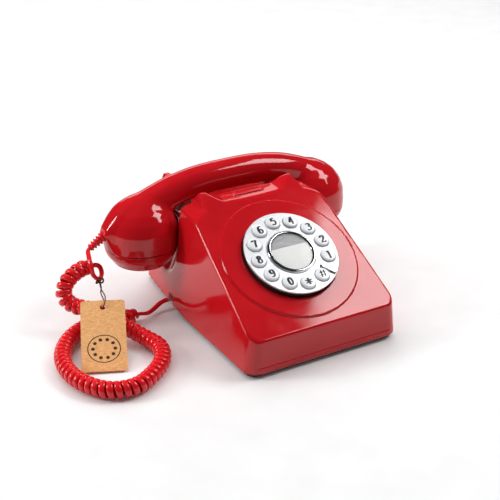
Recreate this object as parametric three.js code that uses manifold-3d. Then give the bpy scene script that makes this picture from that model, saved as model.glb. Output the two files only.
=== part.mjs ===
// Desk telephone with a push-button keypad laid out as a dial, a lift-off handset and a curly cord.
// Units are millimetres. X points right, Y points to the back, Z points up, and the feet stand on z = 0.

import * as THREE from "three";
import Module from "manifold-3d";
import { ConvexGeometry } from "three/addons/geometries/ConvexGeometry.js";
import { mergeVertices } from "three/addons/utils/BufferGeometryUtils.js";

const wasm = await Module();
wasm.setup();

// ---------------------------------------------------------------- driving dimensions

const DEGREE = Math.PI / 180;
const GAP = 0.3;
const FAR = 400;

const CASE_DEPTH = 208;
const FRONT_Y = -CASE_DEPTH / 2;
const REAR_Y = CASE_DEPTH / 2;
const CASE_BOTTOM_Z = 4;
const LIP_TOP_Z = 31.7;
const FACE_TILT = 30.2 * DEGREE;
const WALL = 2.6;
const SIDE_TAPER = 0.114;
const REAR_TAPER = 0.1;
const PLAN_TOP_Z = 110;
const CORNER_RADIUS = 12;

const HORN_TIP_Z = 104.3;
const REAR_HORN_TIP_Z = 98.5;
const SADDLE_Z = 98.2;
const SHOULDER_Z = 92;
const CHANNEL_FLOOR_Z = 78;
const CHANNEL_Y = 56.4;

const DIAL_CENTRE_UP_FACE = 67.3;
const DISC_RADIUS = 58.2;
const DISC_RISE = 1.5;
const PLATE_RADIUS = 40;
const PLATE_TOP = 7;
const PLATE_THICKNESS = 1.6;
const CUP_RADIUS = 39.4;
const CUP_WALL = 1.2;
const CUP_BOTTOM = -12;
const KEY_CIRCLE_RADIUS = 31;
const KEY_RADIUS = 6.1;
const KEY_CLEARANCE = 0.4;
const KEY_FIRST_ANGLE = -22.6;
const KEY_STEP_ANGLE = 29.1;
const BEZEL_OUTER_RADIUS = 20.7;
const BEZEL_INNER_RADIUS = 17.3;

const BASE_BOTTOM_Z = 1.2;
const BASE_TOP_Z = 6;
const FOOT_RADIUS = 8;
const INSIDE_Z = BASE_TOP_Z + GAP;

const PLUNGER_TOP_Z = 87.2;
const HOOK_BAR_Z = 62;

const EAR_X = 84;
const EAR_RADIUS = 32;
const EAR_CLEARANCE = 1.3;
const EAR_SEAM_Z = 57;
const CAP_BOTTOM_Z = 39;
const HANDLE_TOP_AXIS_Z = 103.4;
const HANDLE_RADIUS = 13;
const NECK_RADIUS = 15;

const COIL_DIAMETER = 14;
const CABLE_WIDTH = 4.4;
const CABLE_THICKNESS = 2.6;

const TAG_WIDTH = 36;
const TAG_LENGTH = 68;
const TAG_THICKNESS = 0.8;

const RED = 0xb8141a;

// ---------------------------------------------------------------- materials

function plastic(color, roughness = 0.2) {
  return new THREE.MeshStandardMaterial({ color, roughness, metalness: 0 });
}

function metal(color, roughness = 0.3) {
  return new THREE.MeshStandardMaterial({ color, roughness, metalness: 1 });
}

const redGloss = plastic(RED, 0.12);
const blackPlastic = plastic(0x141414, 0.45);
const greyClear = plastic(0x8f8a88, 0.3);
const paper = plastic(0xe9e7e0, 0.8);
const kraft = plastic(0xc98a4b, 0.9);
const twine = plastic(0x15120f, 0.9);
const rubber = plastic(0x2a2a2a, 0.8);
const boardGreen = plastic(0x1d5a36, 0.5);
const clearPlastic = plastic(0xf4f6f8, 0.08);
const silver = metal(0xc9cacc, 0.28);
const chrome = metal(0xdfe1e4, 0.12);
const steel = metal(0x8d9196, 0.45);
const brass = metal(0xb9984f, 0.35);
const copper = metal(0xb06a3a, 0.4);

// ---------------------------------------------------------------- solids from three.js geometry

const identity = new THREE.Matrix4();

function signedVolume(positions, triangles) {
  const a = new THREE.Vector3();
  const b = new THREE.Vector3();
  const c = new THREE.Vector3();
  let sum = 0;
  for (let i = 0; i < triangles.length; i += 3) {
    a.fromArray(positions, 3 * triangles[i]);
    b.fromArray(positions, 3 * triangles[i + 1]);
    c.fromArray(positions, 3 * triangles[i + 2]);
    sum += a.dot(b.cross(c));
  }
  return sum / 6;
}

// A closed three.js geometry as a manifold solid, with its poles and seams welded.
function solidOf(geometry, matrix = identity) {
  const bare = geometry.clone();
  bare.deleteAttribute("normal");
  bare.deleteAttribute("uv");
  bare.applyMatrix4(matrix);
  const welded = mergeVertices(bare, 1e-4);
  const positions = welded.getAttribute("position").array;
  const index = welded.getIndex().array;
  const triangles = [];
  for (let i = 0; i < index.length; i += 3) {
    const [a, b, c] = [index[i], index[i + 1], index[i + 2]];
    if (a !== b && b !== c && c !== a) {
      triangles.push(a, b, c);
    }
  }
  if (signedVolume(positions, triangles) < 0) {
    triangles.reverse();
  }
  const mesh = new wasm.Mesh({
    numProp: 3,
    vertProperties: Float32Array.from(positions),
    triVerts: Uint32Array.from(triangles),
  });
  return new wasm.Manifold(mesh);
}

function meshOf(name, solid, material) {
  const { vertProperties, triVerts } = solid.getMesh();
  const geometry = new THREE.BufferGeometry();
  geometry.setAttribute("position", new THREE.BufferAttribute(vertProperties, 3));
  geometry.setIndex(new THREE.BufferAttribute(triVerts, 1));
  geometry.computeVertexNormals();
  const mesh = new THREE.Mesh(geometry, material);
  mesh.name = name;
  return mesh;
}

function joined(...solids) {
  return solids.reduce((sum, solid) => sum.add(solid));
}

function cut(solid, ...cutters) {
  return cutters.reduce((rest, cutter) => rest.subtract(cutter), solid);
}

function moved(x, y, z) {
  return new THREE.Matrix4().makeTranslation(x, y, z);
}

function box(low, high, matrix = identity) {
  const size = high.map((value, axis) => value - low[axis]);
  const centre = high.map((value, axis) => (value + low[axis]) / 2);
  const placed = matrix.clone().multiply(moved(...centre));
  return solidOf(new THREE.BoxGeometry(...size), placed);
}

// A solid of revolution about Z from a half outline of [radius, z] points that starts and ends on the
// axis or closes on itself.
function lathe(outline, segments, matrix = identity) {
  const points = outline.map(([radius, z]) => new THREE.Vector2(radius, z));
  const standing = matrix.clone().multiply(new THREE.Matrix4().makeRotationX(Math.PI / 2));
  return solidOf(new THREE.LatheGeometry(points, segments), standing);
}

function disc(radius, bottom, top, segments, matrix = identity) {
  return lathe([[0, bottom], [radius, bottom], [radius, top], [0, top]], segments, matrix);
}

function ring(inner, outer, bottom, top, segments, matrix = identity) {
  const outline = [[inner, bottom], [outer, bottom], [outer, top], [inner, top], [inner, bottom]];
  return lathe(outline, segments, matrix);
}

function shapeOf(points) {
  return new THREE.Shape(points.map(([u, v]) => new THREE.Vector2(u, v)));
}

function flatExtrusion(points, length) {
  return new THREE.ExtrudeGeometry(shapeOf(points), { depth: length, bevelEnabled: false });
}

// Extrusions of an outline: [y, z] points along X, [x, z] points along Y, and [x, y] points along Z.
function alongX(points, from, to) {
  const turn = new THREE.Matrix4().makeBasis(
    new THREE.Vector3(0, 1, 0),
    new THREE.Vector3(0, 0, 1),
    new THREE.Vector3(1, 0, 0),
  );
  return solidOf(flatExtrusion(points, to - from), moved(from, 0, 0).multiply(turn));
}

function alongY(points, from, to) {
  const turn = new THREE.Matrix4().makeBasis(
    new THREE.Vector3(1, 0, 0),
    new THREE.Vector3(0, 0, 1),
    new THREE.Vector3(0, -1, 0),
  );
  return solidOf(flatExtrusion(points, to - from), moved(0, to, 0).multiply(turn));
}

function alongZ(points, from, to, matrix = identity) {
  return solidOf(flatExtrusion(points, to - from), matrix.clone().multiply(moved(0, 0, from)));
}

// A tube of an [across, up] section that follows a curve.
function tube(curve, section, steps) {
  const options = { steps, extrudePath: curve, bevelEnabled: false };
  return solidOf(new THREE.ExtrudeGeometry(shapeOf(section), options));
}

function oval(halfWidth, halfHeight, sides) {
  return Array.from({ length: sides }, (_, i) => {
    const angle = (2 * Math.PI * (i + 0.5)) / sides;
    return [halfWidth * Math.cos(angle), halfHeight * Math.sin(angle)];
  });
}

function curveThrough(points) {
  return new THREE.CatmullRomCurve3(points.map((point) => new THREE.Vector3(...point)));
}

// An outline whose corners are rounded: each entry is [u, v, radius].
function rounded(corners, steps = 4) {
  const path = [];
  corners.forEach(([u, v, radius = 0], i) => {
    const corner = new THREE.Vector2(u, v);
    if (radius === 0) {
      path.push([u, v]);
      return;
    }
    const before = corners[(i + corners.length - 1) % corners.length];
    const after = corners[(i + 1) % corners.length];
    const back = new THREE.Vector2(before[0] - u, before[1] - v).normalize();
    const ahead = new THREE.Vector2(after[0] - u, after[1] - v).normalize();
    const halfAngle = Math.acos(back.dot(ahead)) / 2;
    const reach = radius / Math.tan(halfAngle);
    const start = corner.clone().addScaledVector(back, reach);
    const end = corner.clone().addScaledVector(ahead, reach);
    const curve = new THREE.QuadraticBezierCurve(start, corner, end);
    curve.getPoints(steps).forEach((point) => path.push([point.x, point.y]));
  });
  return path;
}

function mirrored(points) {
  const other = points.map(([x, ...rest]) => [-x, ...rest]).reverse();
  return [...points, ...other];
}

// ---------------------------------------------------------------- frames

// The sloping face from the top of the lip: local X across, local Y up the slope, local Z out of it.
const tilt = new THREE.Matrix4().makeRotationX(FACE_TILT);
const faceFrame = moved(0, FRONT_Y, LIP_TOP_Z).multiply(tilt);
const dialFrame = faceFrame.clone().multiply(moved(0, DIAL_CENTRE_UP_FACE, 0));

function faceHeight(y) {
  return LIP_TOP_Z + (y - FRONT_Y) * Math.tan(FACE_TILT);
}

function faceDepth(z) {
  return FRONT_Y + (z - LIP_TOP_Z) / Math.tan(FACE_TILT);
}

// ---------------------------------------------------------------- upper case

const FRONT_HALF_WIDTH = 71.5;
const REAR_HALF_WIDTH = 60;

// The case's plan at its lower edge, drawn in by an inset; its sides close in towards the back.
function planOutline(inset, drawIn, rearDrawIn) {
  const side = inset + drawIn;
  const rear = REAR_Y - inset - rearDrawIn;
  const front = FRONT_Y + inset;
  const half = [
    [FRONT_HALF_WIDTH - side, front, CORNER_RADIUS - inset],
    [FRONT_HALF_WIDTH - 0.2 - side, -4],
    [FRONT_HALF_WIDTH - 2 - side, 28],
    [REAR_HALF_WIDTH + 6 - side, 58],
    [REAR_HALF_WIDTH - side, rear, CORNER_RADIUS - inset],
  ];
  return rounded(mirrored(half), 5);
}

// The tapering block that gives the case its plan and its leaning side walls.
function planBlock(inset, bottom, top) {
  const level = (z) => {
    const height = z - CASE_BOTTOM_Z;
    const outline = planOutline(inset, SIDE_TAPER * height, REAR_TAPER * height);
    return outline.map(([x, y]) => new THREE.Vector3(x, y, z));
  };
  return solidOf(new ConvexGeometry([...level(bottom), ...level(top)]));
}

const RIDGE_BACK_Y = 27;
const CHANNEL_BACK_Y = 80;

// The case seen from the side: lip, sloping face, front ridge, handset channel, rear ridge and back.
function sideOutline() {
  const hornFrontY = faceDepth(HORN_TIP_Z);
  return rounded([
    [FRONT_Y - 1, CASE_BOTTOM_Z],
    [REAR_Y + 1, CASE_BOTTOM_Z],
    [REAR_Y + 1, REAR_HORN_TIP_Z],
    [CHANNEL_BACK_Y + 8, REAR_HORN_TIP_Z + 1, 3],
    [CHANNEL_BACK_Y + 4, REAR_HORN_TIP_Z - 4, 3],
    [CHANNEL_BACK_Y, CHANNEL_FLOOR_Z, 7],
    [RIDGE_BACK_Y + 6, CHANNEL_FLOOR_Z, 7],
    [RIDGE_BACK_Y + 2, HORN_TIP_Z - 3, 3],
    [hornFrontY + 1.5, HORN_TIP_Z + 0.8, 2],
    [FRONT_Y, LIP_TOP_Z, 2.5],
    [FRONT_Y - 1, LIP_TOP_Z - 1],
  ]);
}

// What is cleared above a ridge: the saddle between its horns and the notches outside them.
function ridgeCutter(tipZ, from, to) {
  const drop = HORN_TIP_Z - tipZ;
  const half = [
    [70, 120],
    [70, 86 - drop],
    [61, SHOULDER_Z - drop],
    [54.5, 94.8 - drop, 4],
    [46.5, 97 - drop, 4],
    [45, 101 - drop],
    [44, HORN_TIP_Z - drop, 1.2],
    [38.5, HORN_TIP_Z - 0.8 - drop, 1.5],
    [28, SADDLE_Z + 0.4 - drop, 6],
    [10, SADDLE_Z - drop],
  ];
  return alongY(rounded(mirrored(half), 4), from, to);
}

// The room that an ear of the handset needs beside the case.
function earHollow(side, extra) {
  const bottom = CAP_BOTTOM_Z - 6 - extra;
  const radius = EAR_RADIUS + EAR_CLEARANCE + extra;
  const outline = [
    [0, bottom],
    [radius - 12, bottom + 2],
    [radius - 5, bottom + 11],
    [radius - 1.2, bottom + 21],
    [radius, bottom + 30],
    [radius, FAR],
    [0, FAR],
  ];
  return lathe(outline, 28, moved(side * EAR_X, CHANNEL_Y, 0));
}

function caseCavity() {
  const ceiling = SHOULDER_Z - 3.5;
  const faceShift = WALL / Math.cos(FACE_TILT);
  const outline = [
    [FRONT_Y + WALL, CASE_BOTTOM_Z - 5],
    [REAR_Y - WALL, CASE_BOTTOM_Z - 5],
    [REAR_Y - WALL, ceiling],
    [CHANNEL_BACK_Y + WALL + 4, ceiling],
    [CHANNEL_BACK_Y + WALL, CHANNEL_FLOOR_Z - WALL],
    [RIDGE_BACK_Y + 4 - WALL, CHANNEL_FLOOR_Z - WALL],
    [RIDGE_BACK_Y - WALL, ceiling],
    [faceDepth(ceiling + faceShift), ceiling],
    [FRONT_Y + WALL, faceHeight(FRONT_Y + WALL) - faceShift],
  ];
  const inside = alongX(outline, -FAR, FAR).intersect(planBlock(WALL, CASE_BOTTOM_Z - 6, PLAN_TOP_Z));
  return cut(inside, earHollow(-1, WALL), earHollow(1, WALL));
}

const SCREW_PLACES = [[-36, -90], [36, -90], [-44, 86], [44, 86]];
const BOSS_RADIUS = 4.5;
const PILOT_RADIUS = 1.75;
const REST_X = 49.5;
const REST_TOP_Z = 80.2;
const PLUNGER_INNER_X = 37;
const PLUNGER_OUTER_X = 48.6;
const SLOT_CLEARANCE = 0.6;
const JACK_Y = 36;
const JACK_Z = 8;
const LINE_SOCKET_X = -30;

function upperCase() {
  const block = planBlock(0, CASE_BOTTOM_Z, PLAN_TOP_Z);
  const outside = cut(
    alongX(sideOutline(), -FAR, FAR).intersect(block),
    ridgeCutter(HORN_TIP_Z, FRONT_Y - 1, CHANNEL_Y),
    ridgeCutter(REAR_HORN_TIP_Z, CHANNEL_Y, REAR_Y + 2),
    earHollow(-1, 0),
    earHollow(1, 0),
  );
  const shell = outside.subtract(caseCavity());
  const bosses = SCREW_PLACES.map(([x, y]) => {
    return disc(BOSS_RADIUS, INSIDE_Z, PLAN_TOP_Z, 12, moved(x, y, 0)).intersect(outside);
  });
  const raisedDisc = disc(DISC_RADIUS, -1, DISC_RISE, 48, dialFrame);
  const pad = box([-14, faceDepth(SADDLE_Z) + 8, SADDLE_Z - 4], [14, RIDGE_BACK_Y - 2, SADDLE_Z + 1]);
  const rests = [-1, 1].map((side) => {
    const low = [side * REST_X - 2.5, CHANNEL_Y - 9, CHANNEL_FLOOR_Z - 1];
    return box(low, [side * REST_X + 2.5, CHANNEL_Y + 9, REST_TOP_Z]);
  });
  const solid = joined(shell, ...bosses, raisedDisc, pad, ...rests);
  const pilots = SCREW_PLACES.map(([x, y]) => disc(PILOT_RADIUS, 0, 22, 8, moved(x, y, 0)));
  const dialHole = disc(CUP_RADIUS + 0.5, -8, 4, 40, dialFrame);
  const plungerSlots = [-1, 1].map((side) => {
    const across = PLUNGER_OUTER_X - PLUNGER_INNER_X + 2 * SLOT_CLEARANCE;
    const middle = (side * (PLUNGER_OUTER_X + PLUNGER_INNER_X)) / 2;
    const low = [middle - across / 2, CHANNEL_Y - 3 - SLOT_CLEARANCE, HOOK_BAR_Z];
    return box(low, [middle + across / 2, CHANNEL_Y + 3 + SLOT_CLEARANCE, 84]);
  });
  const jackHole = box([-80, JACK_Y - 4.6, 2], [-60, JACK_Y + 4.6, JACK_Z + 4]);
  const lineHole = box([LINE_SOCKET_X - 6.4, 95, 7], [LINE_SOCKET_X + 6.4, 110, 16]);
  return meshOf(
    "upper_case",
    cut(solid, dialHole, ...plungerSlots, jackHole, lineHole, ...pilots),
    redGloss,
  );
}

// ---------------------------------------------------------------- base

const FOOT_PLACES = [[-54, -88], [54, -88], [-46, 70], [46, 70]];
const BOARD_POSTS = [[-42, -16], [42, -16], [-42, 12], [42, 12]];

function basePlate() {
  const lower = planOutline(3, 0, 0);
  const upper = planOutline(WALL + 1.2, 0, 0);
  const slab = alongZ(lower, BASE_BOTTOM_Z, CASE_BOTTOM_Z - GAP);
  const tray = alongZ(upper, BASE_BOTTOM_Z + 1, BASE_TOP_Z);
  const posts = BOARD_POSTS.map(([x, y]) => disc(2.5, BASE_TOP_Z - 1, 10.7, 8, moved(x, y, 0)));
  const footPockets = FOOT_PLACES.map(([x, y]) => disc(FOOT_RADIUS + GAP, 0, 3, 16, moved(x, y, 0)));
  const screwHoles = SCREW_PLACES.flatMap(([x, y]) => [
    disc(1.8, 0, 10, 8, moved(x, y, 0)),
    disc(3.6, 0, 3.6, 12, moved(x, y, 0)),
  ]);
  const soundSlots = [-2, -1, 0, 1, 2].map((i) => box([i * 9 - 1.5, 24, 0], [i * 9 + 1.5, 44, 10]));
  const jackNotch = box([-80, JACK_Y - 7.4, 0], [-48.6, JACK_Y + 7.4, 10]);
  const plate = joined(slab, tray, ...posts);
  const cutters = [...footPockets, ...screwHoles, ...soundSlots, jackNotch];
  return meshOf("base_plate", cut(plate, ...cutters), blackPlastic);
}

function foot(name, x, y) {
  const outline = [[0, 0], [FOOT_RADIUS - 1.2, 0], [FOOT_RADIUS, 1.2], [FOOT_RADIUS, 2.7], [0, 2.7]];
  return meshOf(name, lathe(outline, 12, moved(x, y, 0)), rubber);
}

function caseScrew(name, x, y) {
  const outline = [[0, 1.5], [3.2, 1.5], [3.2, 3.2], [1.4, 3.3], [1.4, 20], [0, 21]];
  return meshOf(name, lathe(outline, 8, moved(x, y, 0)), steel);
}

// ---------------------------------------------------------------- dial and keypad, in the dial's frame

function onCircle(angle, radius) {
  return moved(radius * Math.cos(angle * DEGREE), radius * Math.sin(angle * DEGREE), 0);
}

const KEY_NAMES = ["1", "2", "3", "4", "5", "6", "7", "8", "9", "0", "star", "hash"];

function keyPlace(i) {
  return onCircle(KEY_FIRST_ANGLE + i * KEY_STEP_ANGLE, KEY_CIRCLE_RADIUS);
}

function dialPlate() {
  const bottom = PLATE_TOP - PLATE_THICKNESS;
  const outline = [[0, bottom], [PLATE_RADIUS, bottom], [PLATE_RADIUS, PLATE_TOP - 0.6]];
  outline.push([PLATE_RADIUS - 0.6, PLATE_TOP], [0, PLATE_TOP]);
  const hole = KEY_RADIUS + KEY_CLEARANCE;
  const holes = KEY_NAMES.map((_, i) => disc(hole, bottom - 1, PLATE_TOP + 1, 12, keyPlace(i)));
  return meshOf("dial_plate", cut(lathe(outline, 48), ...holes), silver);
}

function dialCup() {
  const top = PLATE_TOP - PLATE_THICKNESS - GAP;
  const inner = CUP_RADIUS - CUP_WALL;
  const outline = [[0, CUP_BOTTOM], [CUP_RADIUS - 2, CUP_BOTTOM], [CUP_RADIUS, CUP_BOTTOM + 2]];
  outline.push([CUP_RADIUS, top], [inner, top], [inner, CUP_BOTTOM + 2]);
  outline.push([0, CUP_BOTTOM + 2]);
  const cableHole = box([-5, -30, CUP_BOTTOM - 1], [5, -24, CUP_BOTTOM + 3]);
  return meshOf("dial_cup", cut(lathe(outline, 32), cableHole), blackPlastic);
}

const BOARD_TOP = CUP_BOTTOM + 5.6;
const MEMBRANE_TOP = BOARD_TOP + 1.8;

function keypadBoard() {
  return meshOf("keypad_board", disc(CUP_RADIUS - 2, BOARD_TOP - 1.6, BOARD_TOP, 24), boardGreen);
}

function keypadMembrane() {
  const sheet = disc(CUP_RADIUS - 2.2, BOARD_TOP + GAP, MEMBRANE_TOP, 24);
  const domes = KEY_NAMES.map((_, i) => {
    const outline = [[0, MEMBRANE_TOP - 0.5], [4.2, MEMBRANE_TOP - 0.5], [3, MEMBRANE_TOP + 1.6]];
    outline.push([0, MEMBRANE_TOP + 1.6]);
    return lathe(outline, 8, keyPlace(i));
  });
  return meshOf("keypad_membrane", joined(sheet, ...domes), rubber);
}

function key(i) {
  const flangeTop = PLATE_TOP - PLATE_THICKNESS - GAP;
  const stemBottom = MEMBRANE_TOP + 3.1;
  const outline = [
    [0, stemBottom],
    [2, stemBottom],
    [2, flangeTop - 0.9],
    [KEY_RADIUS + 0.8, flangeTop - 0.9],
    [KEY_RADIUS + 0.8, flangeTop],
    [KEY_RADIUS, flangeTop],
    [KEY_RADIUS, PLATE_TOP + 1.1],
    [KEY_RADIUS - 0.7, PLATE_TOP + 1.8],
    [KEY_RADIUS - 2.8, PLATE_TOP + 2.3],
    [0, PLATE_TOP + 2.5],
  ];
  return meshOf(`button_${KEY_NAMES[i]}`, lathe(outline, 12, keyPlace(i)), silver);
}

function labelBezel() {
  const bottom = PLATE_TOP + GAP;
  const outline = [
    [BEZEL_INNER_RADIUS, bottom],
    [BEZEL_OUTER_RADIUS, bottom],
    [BEZEL_OUTER_RADIUS, bottom + 0.8],
    [BEZEL_OUTER_RADIUS - 1.1, bottom + 2],
    [BEZEL_INNER_RADIUS + 0.9, bottom + 2],
    [BEZEL_INNER_RADIUS, bottom + 1.3],
    [BEZEL_INNER_RADIUS, bottom],
  ];
  return meshOf("label_bezel", lathe(outline, 24), chrome);
}

function labelCard() {
  const bottom = PLATE_TOP + GAP;
  return meshOf("label_card", disc(BEZEL_INNER_RADIUS - GAP, bottom, bottom + 0.3, 24), paper);
}

function labelWindow() {
  const bottom = PLATE_TOP + 3 * GAP;
  const radius = BEZEL_INNER_RADIUS - GAP;
  const outline = [[0, bottom], [radius, bottom], [radius, bottom + 0.6], [0, bottom + 0.9]];
  return meshOf("label_window", lathe(outline, 24), clearPlastic);
}

function fingerStop() {
  const bottom = PLATE_TOP + GAP;
  const profile = [
    [25.2, bottom],
    [39.4, bottom],
    [39.4, bottom + 0.9],
    [38.9, bottom + 1.3],
    [27, bottom + 1.3],
    [25.2, bottom + 0.5],
  ];
  const turned = alongY(profile, -0.9, 0.9);
  const mesh = meshOf("finger_stop", turned, chrome);
  mesh.rotation.z = -47.6 * DEGREE;
  return mesh;
}

function dialGroup() {
  const group = new THREE.Group();
  group.applyMatrix4(dialFrame);
  group.add(dialPlate(), dialCup(), keypadBoard(), keypadMembrane());
  group.add(labelBezel(), labelCard(), labelWindow(), fingerStop());
  KEY_NAMES.forEach((_, i) => group.add(key(i)));
  return group;
}

// ---------------------------------------------------------------- works inside the case

function mainBoard() {
  const board = box([-48, -22, 11], [48, 18, 12.6]);
  const transformer = box([-38, -14, 12], [-16, 6, 28]);
  const relay = box([8, -16, 12], [24, -4, 24]);
  const capacitor = disc(5, 12, 26, 12, moved(36, 4, 0));
  return meshOf("main_board", joined(board, transformer, relay, capacitor), boardGreen);
}

function ballastPlate() {
  return meshOf("ballast_plate", box([-45, -74, INSIDE_Z], [45, -28, INSIDE_Z + 6]), steel);
}

const GONG_X = 27;
const GONG_Y = 46;
const GONG_RADIUS = 22;
const GONG_TOP_Z = 42;
const CLAPPER_PIVOT_Y = 71;

function ringerBracket() {
  const plate = box([-34, 26, INSIDE_Z], [34, 74, INSIDE_Z + 2]);
  const posts = [-1, 1].map((side) => {
    const place = moved(side * GONG_X, GONG_Y, 0);
    return disc(3, INSIDE_Z + 1, GONG_TOP_Z - 1.6, 10, place).subtract(disc(1.7, 30, 60, 8, place));
  });
  const pivot = moved(0, CLAPPER_PIVOT_Y, 0);
  const pillar = disc(2.6, INSIDE_Z + 1, 32, 10, pivot);
  const pin = disc(1, 31, 40, 8, pivot);
  return meshOf("ringer_bracket", joined(plate, ...posts, pillar, pin), steel);
}

function gong(name, side) {
  const outline = [
    [2.2, GONG_TOP_Z],
    [2.2, GONG_TOP_Z - 1.3],
    [12, GONG_TOP_Z - 1.6],
    [18.5, GONG_TOP_Z - 4.2],
    [GONG_RADIUS - 1.4, GONG_TOP_Z - 12],
    [GONG_RADIUS, GONG_TOP_Z - 12],
    [19.8, GONG_TOP_Z - 3.4],
    [12.5, GONG_TOP_Z],
    [2.2, GONG_TOP_Z],
  ];
  return meshOf(name, lathe(outline, 18, moved(side * GONG_X, GONG_Y, 0)), brass);
}

function gongScrew(name, side) {
  const head = GONG_TOP_Z + GAP;
  const outline = [[0, 32], [1.4, 32], [1.4, head], [4, head], [4, head + 1.4]];
  outline.push([3, head + 2.2], [0, head + 2.2]);
  return meshOf(name, lathe(outline, 10, moved(side * GONG_X, GONG_Y, 0)), steel);
}

function clapper() {
  const z = 36;
  const hub = ring(1.3, 3, z - 2, z + 2, 12, moved(0, CLAPPER_PIVOT_Y, 0));
  const arm = box([-0.8, GONG_Y, z - 1.2], [0.8, CLAPPER_PIVOT_Y - 2, z + 1.2]);
  const ball = solidOf(new THREE.SphereGeometry(3.4, 12, 8), moved(0, GONG_Y, z));
  return meshOf("clapper", joined(hub, arm, ball), steel);
}

function ringerCoil() {
  const across = new THREE.Matrix4().makeRotationY(Math.PI / 2);
  const place = moved(0, 88, INSIDE_Z + 8.5).multiply(across);
  const outline = [[0, -19], [8, -19], [8, -17], [6.4, -17], [6.4, 17], [8, 17], [8, 19], [0, 19]];
  return meshOf("ringer_coil", lathe(outline, 16, place), copper);
}

function handsetSocket() {
  const body = box([-63.2, JACK_Y - 7, 3.6], [-49, JACK_Y + 7, 13.6]);
  const cavity = box([-66, JACK_Y - 4.2, JACK_Z - 3.6], [-53, JACK_Y + 4.2, JACK_Z + 3.6]);
  return meshOf("handset_socket", cut(body, cavity), blackPlastic);
}

function lineSocket() {
  const body = box([LINE_SOCKET_X - 7.5, 86, INSIDE_Z], [LINE_SOCKET_X + 7.5, 99.6, 18]);
  const cavity = box([LINE_SOCKET_X - 5.6, 89, 7.6], [LINE_SOCKET_X + 5.6, 101, 14.6]);
  return meshOf("line_socket", cut(body, cavity), blackPlastic);
}

// The hook switch: both plungers stand on one bar that works the switch below it.
function plunger(name, side) {
  const outline = [
    [PLUNGER_INNER_X, HOOK_BAR_Z + 2 + GAP],
    [PLUNGER_OUTER_X, HOOK_BAR_Z + 2 + GAP],
    [PLUNGER_OUTER_X, PLUNGER_TOP_Z - 7],
    [PLUNGER_INNER_X + 5, PLUNGER_TOP_Z],
    [PLUNGER_INNER_X, PLUNGER_TOP_Z],
  ].map(([x, z]) => [side * x, z]);
  return meshOf(name, alongY(outline, CHANNEL_Y - 3, CHANNEL_Y + 3), greyClear);
}

function hookBar() {
  const bar = box([-46, CHANNEL_Y - 5, HOOK_BAR_Z], [46, CHANNEL_Y + 5, HOOK_BAR_Z + 2]);
  return meshOf("hook_bar", bar, steel);
}

function hookBracket() {
  const leg = box([-12, 76, INSIDE_Z], [12, 78, 52]);
  const shelf = box([-12, 48, 50], [12, 77, 52]);
  return meshOf("hook_bracket", joined(leg, shelf), steel);
}

function hookSwitch() {
  const body = box([-10, 52, 52 + GAP], [10, 60, 60]);
  const button = box([-1.5, 54.5, 59], [1.5, 57.5, HOOK_BAR_Z - GAP]);
  return meshOf("hook_switch", joined(body, button), blackPlastic);
}

// ---------------------------------------------------------------- handset

const HANDLE_POINTS = [
  [-80, 87],
  [-68, 92.5],
  [-50, 98.6],
  [-27, 102.7],
  [0, HANDLE_TOP_AXIS_Z],
  [27, 102.7],
  [50, 98.6],
  [68, 92.5],
  [80, 87],
];

// Half of an ear's outline above the seam with its cap.
function earDome(radius, seamZ) {
  const shoulder = EAR_RADIUS - radius;
  return [
    [0, seamZ],
    [radius, seamZ],
    [radius, 66],
    [radius * 0.975, 74],
    [radius * 0.875, 82.5 - shoulder * 0.5],
    [radius * 0.7, 89.5 - shoulder * 0.7],
    [radius * 0.45, 95 - shoulder],
    [0, 98.4 - shoulder],
  ];
}

// The flare between an ear and the handle: a cone from the wide end down to the handle's own width.
function neck(side) {
  const start = new THREE.Vector3(side * (EAR_X - 3), CHANNEL_Y, 83);
  const end = new THREE.Vector3(side * 48, CHANNEL_Y, 99);
  const length = start.distanceTo(end);
  const direction = end.clone().sub(start).normalize();
  const turn = new THREE.Quaternion().setFromUnitVectors(new THREE.Vector3(0, 1, 0), direction);
  const middle = start.clone().add(end).multiplyScalar(0.5);
  const matrix = new THREE.Matrix4().compose(middle, turn, new THREE.Vector3(1, 1, 1));
  return solidOf(new THREE.CylinderGeometry(HANDLE_RADIUS, NECK_RADIUS, length, 18), matrix);
}

function cordHood() {
  const outline = [
    [-112.7, 62.1],
    [-100, 57.3],
    [-92, 92],
    [-104, 91.4],
    [-117, 76.8],
    [-119, 71.9],
  ];
  return alongY(outline, CHANNEL_Y - 8, CHANNEL_Y + 8);
}

function handsetShell() {
  const curve = curveThrough(HANDLE_POINTS.map(([x, z]) => [x, CHANNEL_Y, z]));
  const seam = EAR_SEAM_Z + GAP / 2;
  const sides = [-1, 1];
  const outside = joined(
    tube(curve, oval(HANDLE_RADIUS + 0.4, HANDLE_RADIUS, 12), 18),
    ...sides.map((side) => lathe(earDome(EAR_RADIUS, seam), 24, moved(side * EAR_X, CHANNEL_Y, 0))),
    ...sides.map(neck),
    cordHood(),
  );
  const bore = tube(curve, oval(9.5, 9.2, 8), 12);
  const earRooms = sides.map((side) => {
    const outline = earDome(EAR_RADIUS - WALL, seam - 1);
    return lathe(outline, 16, moved(side * EAR_X, CHANNEL_Y, 0));
  });
  return meshOf("handset_shell", cut(outside, bore, ...earRooms), redGloss);
}

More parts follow.
